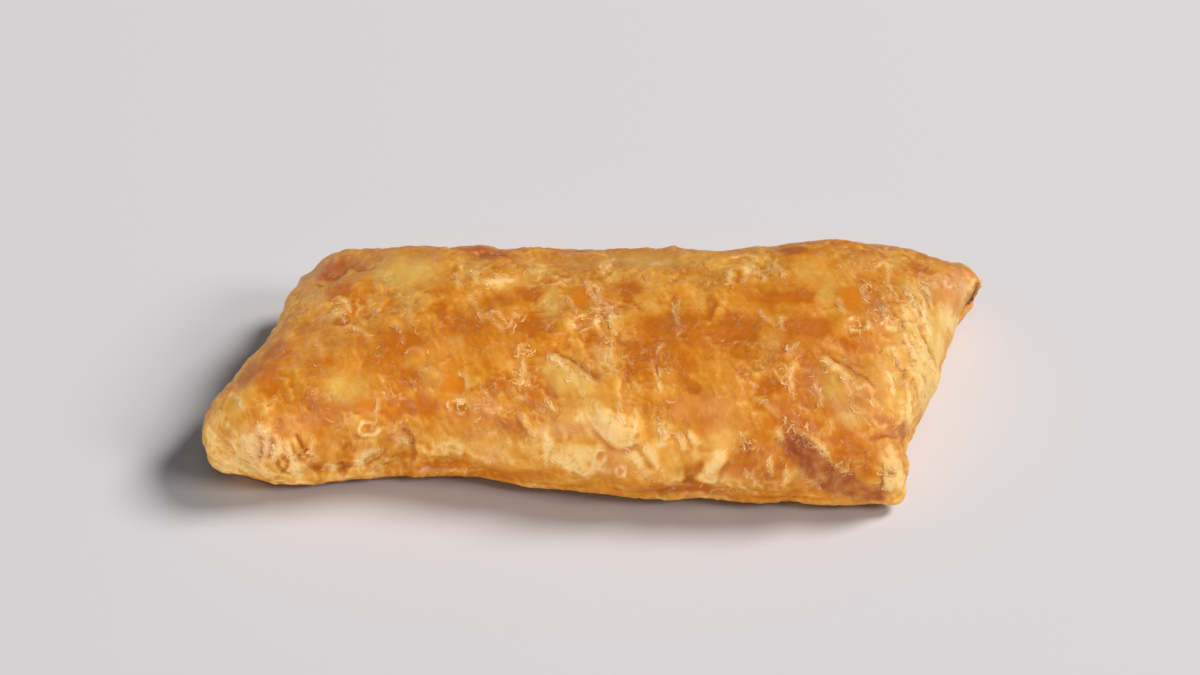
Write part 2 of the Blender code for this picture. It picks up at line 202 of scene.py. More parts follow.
tonePatches = {
    # Most cream is paler dough. Some cream patches are painted light: glints on the knob and at the right
    # end, and a lighter tone on the shaded low front of the nose and on the flank under the tip.
    "cream": [
        (-83.5, -32.5, 17, 6.5, 5, 15, 0.3), (-81.5, -31.5, 20.5, 3, 2, 5, 0.3),
        (-88.5, -29.5, 6.5, 8.5, 4, 25, 0.2), (-74.5, -33, 9.5, 6, 1.5, 85, 0.55),
        (-92.5, -21, 21, 6, 5, -20, 0.15), (-65.5, 2.5, 30.5, 4.5, 3, -70, 0.4),
        (-57, 4, 31, 3, 2, 35, 0.25), (-42.5, 3, 33.5, 2.5, 2, -75, 0.25),
        (-30.5, 13, 33, 3.5, 2.5, -80, 0.5), (-35.5, 13, 33, 4.5, 1, -85, 0.6),
        (-26, 8.5, 33.5, 6.5, 2, 0, 0.55), (-62, -29.5, 22, 2.5, 1.5, 0, 0.2),
        (-37, -30, 14.5, 4.5, 3, 15, 0.45), (-65.5, -31, 17.5, 4.5, 2, 85, 0.3),
        (-58.5, -30, 10.5, 4, 2, 50, 0.35), (-66, -30.5, 6.5, 2.5, 2, 75, 0.3),
        (-15.5, 17.5, 30.5, 5.5, 3, -75, 0.5), (-9, 9.5, 32.5, 3.5, 2, -5, 0.35),
        (1.5, 16, 32, 7, 1.5, -85, 0.5), (3, -4, 33.5, 8, 2.5, -80, 0.35),
        (0, -15, 32, 3.5, 2.5, -5, 0.4), (-11, -17, 31, 3.5, 1.5, -50, 0.75),
        (-5, -24, 29.5, 4.5, 2.5, -25, 0.5), (2.5, -18, 31.5, 5, 3.5, -85, 0.25),
        (-19, -17.5, 30, 5.5, 1, 85, 0.4), (-4, -30, 26, 6, 3.5, 0, 0.6),
        (2.5, -33.5, 25.5, 5, 4.5, 0, 0.8), (8, -33, 25.5, 5, 3, 90, 0.5),
        (-13, -33, 19.5, 5, 2, 90, 0.5), (-6, -35, 15, 7, 4.5, 10, 0.6),
        (13, -36.5, 21.5, 7.5, 2, -90, 0.4), (16, -34.5, 24.5, 4.5, 1.5, 90, 0.25),
        (9, -38, 18, 3, 2.5, -60, 0.5), (21, -35.5, 23, 3, 1.5, -70, 0.5),
        (26.5, -39.5, 17.5, 5, 2.5, 70, 0.75), (24, -29, 28, 8.5, 3, 0, 0.2),
        (28.5, -36, 23, 5, 3, -90, 0.35), (-28, -27.5, 24.5, 4.5, 2, -20, 0.3),
        (-34, -24.5, 26, 4.5, 1.5, 0, 0.25), (38.5, 17.5, 31, 8, 4.5, -5, 0.35),
        (31.5, 12.5, 32.5, 4, 1, 85, 0.5), (36.5, 14, 31.5, 5, 1.5, 85, 0.55),
        (40.5, 9.5, 32.5, 3.5, 1.5, -5, 0.5), (71.5, -3, 29, 2.5, 1.5, 35, 0.7),
        (68, -10, 28, 6.5, 3, 10, 0.3), (55.5, -17.5, 30, 2.5, 2, -45, 0.75),
        (60, -22, 27.5, 6, 3, 10, 0.25), (69.5, -15.5, 25.5, 4, 3.5, 55, 0.5),
        (70, -21, 23, 3, 2, 55, 0.4), (79.5, -1, 26.5, 12, 3.5, 70, 0.6), (78, -9.5, 24, 6, 5, 25, 0.6),
        (82, -7, 13, 11.5, 5, -45, 0.55), (75, -22, 17.5, 6.5, 3.5, 10, 0.4),
        (82, 16, 24.5, 6.5, 2.5, 75, 0.3), (46, -19, 31.5, 5.5, 1, 85, 0.35),
        (69, -35.5, 17.5, 3, 2.5, 85, 0.8), (72, -37, 11.5, 5.5, 3, -60, 0.6),
        (40.5, -39.5, 17.5, 3, 1, -90, 0.5), (44, -39.5, 13.5, 2.5, 1, -85, 0.4),
        (51.5, -38.5, 10.5, 2.5, 1.5, 60, 0.3), (37.5, -12.5, 32.5, 1.5, 1, 85, 0.3),
        (42.5, -35.5, 24, 1.5, 1, -90, 0.3), (77, 25, 26, 5.5, 3.5, -15, 0.3),
        (86.5, 10.5, 19, 8.5, 4, 25, 0.45), (78, 8, 28.5, 8, 2.5, 75, 0.4),
        (83.5, -0.5, 19, 7.5, 4.5, 25, 0.5), (74, -20, 20.5, 5, 3.5, 55, 0.4),
        (72.5, -3.5, 29, 3.5, 2.5, 60, 0.3), (76.5, -2.5, 27.5, 9.5, 3.5, 65, 0.3),
        (80, -10, 16.5, 9, 6.5, -35, 0.4), (-23, 10, 33.5, 7, 3.5, 5, 0.3),
        (87, 16, 21, 10, 4, 55, 0.25), (47, -34.5, 25, 3, 1, -40, 0.5),
        (52.5, -38, 21.5, 4, 1, -45, 0.6), (57.5, -38, 15.5, 3, 1, -50, 0.5),
        (79.5, -0.5, 26.5, 7, 2.5, 70, 0.4), (89, 22, 20.5, 9, 3.5, 35, 0.3),
        (-91, -28, 5.5, 8.5, 4.5, 30, 0.25), (-94.5, -26, 13, 5, 3, 70, 0.15),
        (68.5, -37, 16.5, 2.5, 2.5, -55, 0.25), (23.5, -39, 12, 8.5, 1.5, 5, 0.35),
        (-0.5, -36, 9, 12.5, 2.5, 5, 0.15), (-83.5, -34, 9.5, 11.5, 4.5, 5, 0.35),
        (-90.5, -28.5, 15.5, 12.5, 6.5, 30, 0.15), (-83, -34, 9, 5, 2.5, 0, 0.3),
        (94, 25.5, 16.5, 4.5, 4, 45, 0.25), (81.5, 18.5, 24.5, 7, 3, -90, 0.3),
        (91, 24, 19.5, 7, 3, 30, 0.15), (-81, -34, 10, 5, 3, -5, 0.2),
        (-70, 29.5, 22, 16.5, 6.5, -75, 0.12), (24.5, 18.5, 31.5, 10, 4, 0, 0.12),
        (-79.5, -2, 26, 10, 2, -75, 0.2), (-86.5, -32, 10.5, 6, 3, 20, 0.2),
        (78.5, 14, 27, 9, 4, 65, 0.4), (89.5, 17, 12.5, 12, 2.5, -50, 0.5),
        (84.5, 1, 19.5, 6.5, 3, -25, 0.35), (71, -3, 29, 2, 1.5, 45, 0.6),
        (70, -16, 25, 2.5, 1.5, 15, 0.5), (93.5, 24.5, 16, 4.5, 3.5, -25, 0.35),
        (86, 26, 23, 5.5, 3.5, 5, 0.2), (-25, -32, 14.5, 6.5, 3, 0, 0.12),
        (-10, -33.5, 20.5, 7.5, 3, 5, 0.1), (-94.5, -25, 15.5, 6, 4, 70, 0.2),
    ],
    "straw": [
        (-50.5, 15, 31, 10.5, 8, -30, 0.6), (-62, -24, 27, 7, 4, 0, 0.5),
        (-41, -20.5, 29.5, 4.5, 4, 0, 0.38), (-13.5, 0.5, 33.5, 8, 2.5, -90, 0.5),
        (-13, -20.5, 30.5, 3, 2.5, -20, 0.4), (52.5, 15.5, 32.5, 4.5, 3.5, 65, 0.35),
        (56, 7, 32, 6.5, 2.5, 85, 0.45), (54.5, -22.5, 28.5, 4, 3, 75, 0.35),
        (-17, 13, 32, 4, 3, 80, 0.3), (13, 8, 33, 5, 5, -60, 0.25), (-0.5, -26.5, 28.5, 7, 2.5, 0, 0.3),
        (-63.5, -20.5, 29.5, 7.5, 3, 0, 0.25), (67.5, -19.5, 25.5, 9, 6.5, 65, 0.3),
        (79.5, -5.5, 24, 17.5, 6.5, 65, 0.35), (-88, -22, 24.5, 5.5, 4, -50, 0.25),
        (-76, 12.5, 24, 18, 4.5, -60, 0.3), (-33, 18, 32, 7.5, 4, 0, 0.4),
        (22, 19, 31.5, 12.5, 4.5, 0, 0.35), (67.5, 21, 29.5, 10.5, 3.5, 25, 0.3),
        (4.5, 19, 31, 7.5, 6, 0, 0.3), (83, -4, 14, 12.5, 6.5, -40, 0.4),
        (74, -9, 27, 11.5, 5.5, 75, 0.25), (-11.5, -20.5, 30.5, 4, 3.5, -80, 0.35),
        (12, 19.5, 30.5, 8, 6.5, -80, 0.3), (22, 10.5, 33, 5, 3, 5, 0.3),
        (-6.5, -23.5, 29.5, 6, 3, 0, 0.3), (57.5, -24.5, 27, 5, 3.5, 15, 0.3),
        (-47.5, 3.5, 32.5, 5.5, 4, -30, 0.3), (-9, -20, 30.5, 6.5, 5, -90, 0.5),
        (-11.5, 2.5, 33, 7, 2.5, -90, 0.4), (60, -29.5, 24, 5, 3, 10, 0.45),
        (58.5, -19.5, 29, 8, 6.5, 60, 0.25), (64.5, -33.5, 20.5, 3.5, 2.5, 10, 0.2),
        (84, 1.5, 20.5, 13, 5.5, 55, 0.4), (-49.5, 15.5, 31.5, 8.5, 6.5, -45, 0.3),
        (49.5, 12.5, 33, 3, 2.5, -50, 0.2), (-46, -17.5, 31, 3, 2, -35, 0.2),
        (-62.5, -23, 28, 3.5, 3, -85, 0.35), (-87.5, -24.5, 23.5, 3.5, 2.5, 75, 0.4),
        (-36, -12, 32, 3, 2.5, 0, 0.25), (2, 14.5, 32.5, 9.5, 2.5, -85, 0.3),
        (40.5, -12.5, 32, 4, 2.5, 85, 0.25), (24, 3.5, 32.5, 4, 3, 0, 0.2),
        (75.5, 11, 28.5, 5.5, 2.5, 75, 0.3),
    ],
    # Most blush is a pinkish tint; laid with cream on the knob it paints a pinkish highlight.
    "blush": [
        (21, -29.5, 27.5, 8, 3, 0, 0.4), (29.5, -39.5, 16, 6, 4.5, -90, 0.2),
        (-31, -30, 19, 4, 2.5, 10, 0.5), (-28, -27.5, 24, 4, 2.5, 0, 0.35),
        (-26, -31.5, 13.5, 5, 4, 60, 0.5), (0.5, -33.5, 24, 5.5, 2.5, -15, 0.5),
        (-9, -32, 22.5, 5.5, 2, 0, 0.6), (2.5, -36, 18.5, 4.5, 2.5, 10, 0.7),
        (2, -36.5, 13.5, 7.5, 3, 15, 0.7), (-48.5, -29, 17.5, 4, 2.5, -15, 0.6),
        (-57.5, -30.5, 12, 4, 3, -20, 0.4), (-73, -29, 23, 5, 3.5, 0, 0.35),
        (-60, -15.5, 31.5, 3, 1.5, -5, 0.3), (-0.5, -14.5, 32, 4, 2.5, -5, 0.5),
        (0.5, -1.5, 33.5, 8, 4.5, 90, 0.4), (68.5, 1.5, 30.5, 8, 4, 80, 0.4),
        (73, -8, 28, 4.5, 2, 15, 0.4), (67.5, -27, 20.5, 3.5, 1.5, 15, 0.7),
        (-81.5, -32, 19, 4, 3.5, 15, 0.5), (69, -35.5, 17.5, 4, 4, 40, 0.6),
        (88.5, 21, 21, 11, 4.5, 35, 0.85), (-71.5, 30, 20, 19, 6.5, -80, 0.6),
        (-75.5, 21, 21.5, 13.5, 3, -75, 0.5), (-7, 31, 24, 11, 6, 85, 0.3),
        (33, -39.5, 13, 5.5, 2.5, 5, 0.25), (28, -31.5, 27, 4.5, 4.5, -85, 0.3),
        (-41.5, 20.5, 31.5, 3.5, 2, -85, 0.5), (93, 27.5, 18.5, 7.5, 2.5, 35, 0.5),
        (40, -39.5, 17.5, 5.5, 2.5, -90, 0.2), (47.5, -39, 12.5, 5, 2.5, -10, 0.25),
        (-88.5, -30, 9.5, 12, 3.5, 40, 0.3), (-82, -33, 17, 6, 4.5, 10, 0.3),
        (-85, -31.5, 18.5, 11, 7.5, 15, 0.2), (89, 22.5, 20.5, 8, 3, 35, 0.3),
        (-18.5, -17.5, 30, 3, 1, -90, 0.5), (-12, -21, 30, 1, 1, -75, 0.5),
        (-0.5, -15.5, 32, 2, 1.5, -10, 0.4), (71, -3, 29, 2, 1.5, 45, 0.3),
    ],
    "amber": [
        (-79, -9.5, 27.5, 6, 3.5, -60, 0.6), (-81.5, -16, 27, 3, 2, -55, 0.6),
        (-80.5, -21, 26.5, 4, 3, -40, 0.45), (-68, 21.5, 24.5, 6.5, 3, -65, 0.5),
        (-65.5, 8.5, 30, 4.5, 3, -50, 0.5), (-64.5, -2.5, 30.5, 2.5, 1.5, -20, 0.55),
        (-61.5, 2, 31, 3.5, 1, -85, 0.5), (-49, -12, 32.5, 6.5, 4.5, -5, 0.4),
        (-68.5, -18, 30.5, 5.5, 3.5, -10, 0.25), (-68, -26, 26, 2.5, 2, 0, 0.45),
        (-46.5, -21, 29, 3.5, 2.5, 0, 0.45), (-44, -26, 25, 6, 2.5, 0, 0.6),
        (-39.5, -1.5, 33.5, 5, 1.5, -90, 0.5), (-33, -5.5, 33, 6.5, 5.5, -20, 0.4),
        (-29, 22.5, 31, 6.5, 5, 15, 0.7), (-18, 4.5, 33, 3, 2.5, 5, 0.6),
        (-25, 2, 33.5, 5.5, 3, -5, 0.35), (-16, -7, 33.5, 6, 4, -5, 0.65),
        (-25, -22, 29, 3.5, 3, 0, 0.35), (-12, -24.5, 28, 2.5, 2, 65, 0.4),
        (-22.5, -30.5, 22, 4, 2.5, -20, 0.5), (8.5, -20.5, 31, 5, 3.5, 0, 0.4),
        (11, -15, 32.5, 7, 4, 0, 0.4), (5.5, 7, 32.5, 5, 3.5, 0, 0.5), (4.5, 17, 32, 4, 3.5, -10, 0.35),
        (16, -6, 33, 6.5, 4.5, -5, 0.4), (26.5, 0.5, 32.5, 4.5, 1.5, 80, 0.7),
        (19, 2.5, 32.5, 2.5, 1, 90, 0.35), (33, -7, 32, 6.5, 6, 20, 0.55), (22, -5, 33, 5, 4, 10, 0.3),
        (20, -21, 31, 5.5, 3.5, 90, 0.3), (22, -25, 29.5, 3.5, 2, -40, 0.3),
        (34.5, -15, 32, 4, 3.5, 5, 0.25), (40.5, -24, 30, 4, 2.5, 5, 0.5),
        (44.5, 3.5, 33, 8.5, 2.5, -5, 0.5), (50.5, 4.5, 33, 2.5, 2.5, 50, 0.5),
        (50, -6, 32, 6, 4, 15, 0.75), (49.5, -19.5, 30.5, 4.5, 2, 85, 0.35),
        (53.5, -24, 28, 3, 2, 60, 0.4), (48.5, 24, 31, 5, 3.5, -20, 0.6),
        (66.5, 23.5, 29.5, 6.5, 2.5, 35, 0.35), (79.5, 23.5, 25, 5, 3, -20, 0.6),
        (37.5, -36, 23, 3.5, 3, -90, 0.3), (34.5, -37.5, 21, 3.5, 2, -90, 0.5),
        (45, -32.5, 26.5, 5.5, 2.5, -30, 0.35), (51, -33, 25, 2.5, 2, 10, 0.4),
        (59.5, -36.5, 20, 5.5, 4, -30, 0.45), (64, -38, 15, 4.5, 3, -85, 0.5),
        (21, -38, 12, 3.5, 2, -90, 0.6), (-69, -31, 8.5, 3.5, 2.5, -85, 0.6),
        (-63, -30, 8.5, 3.5, 1.5, 85, 0.6), (-61.5, -30.5, 14, 3, 3, -45, 0.4),
        (-71.5, -32, 15.5, 2.5, 2, 90, 0.4), (-77.5, -30.5, 21.5, 2.5, 2, 90, 0.4),
        (-25.5, -31.5, 7, 6.5, 2.5, 25, 0.25), (-88.5, -17, 24, 4.5, 2, -65, 0.35),
        (-91.5, -26.5, 16.5, 4, 1.5, 15, 0.25), (-79.5, -34, 10.5, 3, 2.5, 75, 0.35),
        (11.5, -39, 9, 14.5, 2.5, -5, 0.2), (-10.5, -35, 12, 3, 2.5, 25, 0.2),
        (9, -29, 27, 7, 2, 0, 0.2), (47.5, -28.5, 27.5, 5, 2, 5, 0.25),
        (22, 15.5, 32, 5.5, 3.5, 5, 0.3), (61.5, -10, 29.5, 6.5, 2, -5, 0.4),
        (-0.5, -11.5, 33, 7.5, 1.5, -15, 0.35), (66.5, 5, 31, 7, 1.5, -80, 0.3),
        (-54, -18, 31, 7.5, 5.5, -5, 0.2), (21.5, -12, 33.5, 9.5, 4.5, 0, 0.2),
        (74, -16, 22.5, 5, 2.5, 85, 0.2), (35.5, -39.5, 16, 8, 4.5, 0, 0.4),
        (47.5, -39, 10, 10, 3.5, -10, 0.2), (-49.5, -28, 10, 6.5, 4.5, -25, 0.25),
        (-37.5, -28.5, 8, 10, 3, 10, 0.2), (2, -36.5, 10, 13, 3.5, 20, 0.1),
        (-40, -28.5, 4, 12.5, 3, 10, 0.35), (-20, -32.5, 6.5, 13.5, 3, 20, 0.3),
        (-0.5, -35.5, 5.5, 15, 3.5, 15, 0.18), (21, -38.5, 7.5, 12, 3, 0, 0.45),
        (40.5, -39.5, 5.5, 14.5, 3.5, 0, 0.3), (-10, -33, 20.5, 3.5, 2, 5, 0.15),
        (-32, -11, 32.5, 10, 7, -5, 0.15), (-50.5, -11.5, 32.5, 8, 7, -60, 0.15),
        (-86, -14, 24.5, 7, 3.5, -55, 0.3), (56, -23, 28, 10, 6.5, 10, 0.22),
        (-37, -29, 19.5, 11, 5.5, 5, 0.15), (-92, -27.5, 11, 5.5, 2.5, 60, 0.08),
        (11, -15, 32.5, 4, 2.5, 0, 0.35), (49, -6.5, 32.5, 3.5, 2.5, 15, 0.35),
        (59.5, -36.5, 19.5, 3.5, 2, -5, 0.3), (40.5, -24.5, 30, 3, 2, 5, 0.3),
        (33, -7.5, 32, 4, 3.5, 10, 0.2), (47.5, -36.5, 22, 3, 2, -35, 0.3),
        (55, -16, 30.5, 4, 3, 30, 0.15), (58, -38, 17.5, 4.5, 2, -40, 0.2),
        (40, -37.5, 21, 7, 3.5, 0, 0.2), (82.5, 12.5, 24, 5.5, 1.5, 80, 0.25),
        (67.5, 3.5, 31, 3, 1, 85, 0.3), (65.5, 8, 31, 3.5, 1, 75, 0.3),
        (0.5, 1.5, 33.5, 3.5, 0.5, 90, 0.3), (55, -21.5, 28.5, 8.5, 7, 65, 0.12),
        (61.5, -25, 25.5, 6.5, 4.5, 15, 0.15), (48, -13.5, 31.5, 7.5, 6, 25, 0.12),
        (41.5, 6.5, 33, 15, 7, -5, 0.12), (21, -15, 32.5, 9, 7.5, 85, 0.1),
        (38, -39.5, 16, 7, 4.5, 0, 0.2), (47, -34.5, 25, 4, 3, 0, 0.2), (63, -7.5, 30.5, 4, 3, 15, 0.2),
        (58, -37, 20, 6, 3, -40, 0.2), (21, -29.5, 27.5, 8, 3.5, 0, 0.12),
        (-41.5, -20, 29.5, 5.5, 5, 0, 0.15), (-28, -27.5, 24, 4, 3, 0, 0.15),
        (33.5, -7, 32, 4.5, 4, 25, 0.2), (57, -22.5, 28, 10.5, 8, 20, 0.12),
        (66.5, 5, 31, 9.5, 7, 65, 0.1), (23.5, -12, 33, 15, 9.5, 10, 0.06),
        (14, -8, 32.5, 7.5, 5, 0, 0.15), (-81, -16.5, 27, 6, 2.5, -70, 0.3),
        (-74.5, -2.5, 28, 9.5, 4, -30, 0.15), (-54, -14, 32, 5, 4.5, -30, 0.15),
        (21, -27.5, 28, 5, 2.5, 0, 0.15), (58.5, -24.5, 27, 9, 6.5, 20, 0.12),
        (55.5, -38.5, 19, 7, 2.5, -45, 0.15), (-41.5, -21.5, 29, 5, 2, -20, 0.15),
        (23.5, -32.5, 26, 7, 2.5, 0, 0.1), (60, -17.5, 28.5, 8.5, 5.5, 30, 0.1),
        (-3, -34, 21, 3.5, 1.5, 5, 0.1), (-67, -28, 23.5, 8, 6, 0, 0.3),
        (-63.5, -30.5, 17.5, 7, 5, 0, 0.2), (-52.5, -28, 24.5, 6.5, 5, 0, 0.2),
        (-66.5, -31.5, 13, 4, 3.5, -35, 0.2), (60, -18, 28.5, 8, 4.5, 25, 0.12),
        (-43, -27, 23.5, 9.5, 6.5, 0, 0.12), (45, -34, 26, 7, 4, -30, 0.12),
        (-16.5, -22.5, 28.5, 7, 2.5, -90, 0.35), (-20.5, -13.5, 31, 3.5, 3, 0, 0.25),
        (-12, -25, 28, 1.5, 1.5, -10, 0.4), (-20, -27.5, 25, 5, 2.5, 0, 0.15),
        (41, -14, 32, 4, 3.5, 80, 0.35), (48, -14.5, 31.5, 4, 3.5, 40, 0.2),
        (49.5, -24, 29, 5.5, 4, 80, 0.25), (39.5, -33.5, 25.5, 3, 2.5, 0, 0.35),
        (49, -33, 25, 4, 2.5, 5, 0.3), (58, -32.5, 23.5, 4, 3.5, 35, 0.35),
        (44, -39, 17.5, 2.5, 2.5, -70, 0.35), (39, -28.5, 29, 5, 2.5, 5, 0.15),
        (-60.5, -26, 26, 5, 2.5, 0, 0.15), (-49, -28.5, 22, 6, 3, -5, 0.15),
    ],
    "russet": [
        (-67.5, 22, 24.5, 6, 4, -90, 0.7), (-63.5, 24, 25, 4.5, 2.5, -40, 0.6),
        (-58, 22, 28, 3, 2, 35, 0.5), (-28.5, 23, 30.5, 5.5, 3.5, 20, 0.5),
        (-80, -10, 27, 4.5, 2.5, -65, 0.15), (46.5, -36.5, 21, 5, 4.5, -45, 1),
        (50.5, -37.5, 17, 6, 5, -65, 1), (55.5, -38, 12, 7, 4.5, -65, 1),
        (61, -38, 9, 6.5, 4.5, -40, 1), (66.5, -38.5, 7.5, 4, 3.5, -75, 0.9),
        (72.5, -27.5, 16.5, 4.5, 2, 10, 0.8), (68, -27, 20.5, 3, 1.5, -5, 0.5),
        (21, -38, 11, 3, 1.5, -90, 0.5), (-63.5, -30, 8, 3, 1.5, 90, 0.4),
        (-69, -31, 8.5, 2.5, 2, -80, 0.4), (79.5, 24, 25, 3.5, 2, -20, 0.4),
        (34, -37, 22, 2, 1.5, -90, 0.4), (-46.5, -27, 9.5, 5.5, 1, 80, 0.5),
        (49, 24, 31, 3.5, 3, -25, 0.4), (90, 18.5, 16, 10, 2.5, -5, 0.15),
        (23.5, -38, 6.5, 10, 1.5, -10, 0.35), (89, 21.5, 20.5, 10, 4, 35, 0.2),
        (-25, -31.5, 5, 14.5, 2.5, 25, 0.2), (-0.5, -35.5, 5.5, 15, 2.5, 15, 0.12),
        (21, -38.5, 6.5, 12, 2.5, 0, 0.35), (-45, -28.5, 4.5, 10, 1.5, 5, 0.25),
        (51, -38, 19, 6.5, 2.5, -45, 0.2), (-66, -31, 17.5, 3.5, 2.5, 25, 0.15),
        (50, -37.5, 20.5, 7.5, 2.5, -40, 0.18), (47, -36, 23, 2.5, 2, -40, 0.3),
    ],
    "window": [
        (-5.5, 3, 33, 7.5, 3, 85, 1), (61.5, 5, 31.5, 6.5, 3.5, 80, 1),
        (-35.5, -21.5, 28, 3.5, 3, 85, 1), (-57.5, -26.5, 26, 3, 2.5, 0, 0.9),
        (73, -12.5, 25.5, 2.5, 1.5, 20, 0.5), (90, 19.5, 18, 10, 3.5, 10, 0.35),
        (-80.5, -20, 26.5, 4, 3, -60, 0.5), (-23, 4, 33.5, 3, 2.5, 0, 0.4),
        (45, 3, 33, 3.5, 2, -5, 0.4),
    ],
    "scorch": [
        (95.5, 26, 12.5, 3.5, 2, -45, 0.7), (96, 27.5, 14, 3, 1, 0, 0.5),
    ],
}
patchEdge = {"window": (0.5, 1.12), "russet": (0.6, 1.2), "scorch": (0.5, 1.1)}
softEdge = (0.2, 1.4)   # a patch is whole inside the first share of its size and gone at the second
patchRoundness = {"window": 1.4}   # 2 is an oval, 1 a diamond
patchReach = 1.6   # no point further off than this share of a patch's size is looked at
ragged = {"lump": 5.0, "push": 1.5, "fineLump": 1.8, "finePush": 0.7}
# how far round its centre an oval takes its slope from, mm, and how fast that fades, square mm
ovalSlope = {"reach": 8.0, "fade": 18.0}

raggedPoints = wander(points, ragged["lump"], ragged["push"], 11)
raggedPoints = wander(raggedPoints, ragged["fineLump"], ragged["finePush"], 15)
crustTree = treeOver(points)


def layFrame(centre, turn):  # directions along and across an oval that lies on the crust, and up from it
    away = ((points - centre) ** 2).sum(1)
    near = away < ovalSlope["reach"] ** 2
    up = unit((normals[near] * np.exp(-away[near] / ovalSlope["fade"])[:, None]).sum(0))
    along = unit(np.array((1.0, 0, 0)) - up[0] * up)
    across = np.cross(up, along)
    c, s = math.cos(math.radians(turn)), math.sin(math.radians(turn))
    return c * along + s * across, c * across - s * along, up


def patchMask(spots, patch, edge, roundness):
    x, y, z, half, width, turn, strength = patch
    centre = np.array((x, y, z))
    size = max(half, width)
    near = np.where(np.abs(spots - centre).max(1) < patchReach * size)[0]
    along, across, up = layFrame(centre, turn)
    offset = spots[near] - centre
    u, v, w = (np.abs(offset @ way / far) for way, far in ((along, half), (across, width), (up, size)))
    reach = (u**roundness + v**roundness + w**roundness) ** (1 / roundness)
    mask = np.zeros(len(spots))
    mask[near] = strength * (1 - rise(reach, *edge))
    return mask


def layPatches(name):
    whole = np.zeros(len(points))
    for patch in tonePatches[name]:
        mask = patchMask(raggedPoints, patch, patchEdge.get(name, softEdge), patchRoundness.get(name, 2))
        whole = 1 - (1 - whole) * (1 - mask)
    return whole


tones = {name: layPatches(name) for name in tonePatches}

# the sides that the photo doesn't show are browned as unevenly as the rest
hiddenSides = {
    "facing": (0, 0.73, -0.68),       # away from the photo's camera
    "fade": (-0.15, 0.25),            # hidden wholly above the second, not at all below the first
    "tones": {"amber": (12.0, 0.6), "cream": (9.0, 0.55), "straw": (14.0, 0.5), "blush": (8.0, 0.45)},
    "pucker": (12.0, 0.9),            # size and height of the soft puckers, mm
    "layers": (2.2, 0.3),             # spacing and height of the edges of the sheets
    "bulge": (13.0, 7.0, 1.2),        # height above the base, reach and depth of the swell
    "foot": (1.5, 3.0, -0.9),
    "leaves": 60,
}
hidden = rise(normals @ np.array(hiddenSides["facing"]), *hiddenSides["fade"])
for k, (name, (size, share)) in enumerate(hiddenSides["tones"].items()):
    browned = rise(mottle(points, size, 101 + k) + 0.4 * mottle(points, size / 3, 105 + k), 0.05, 0.5)
    tones[name] = np.maximum(tones[name], share * browned * hidden)
print("tone patches laid")
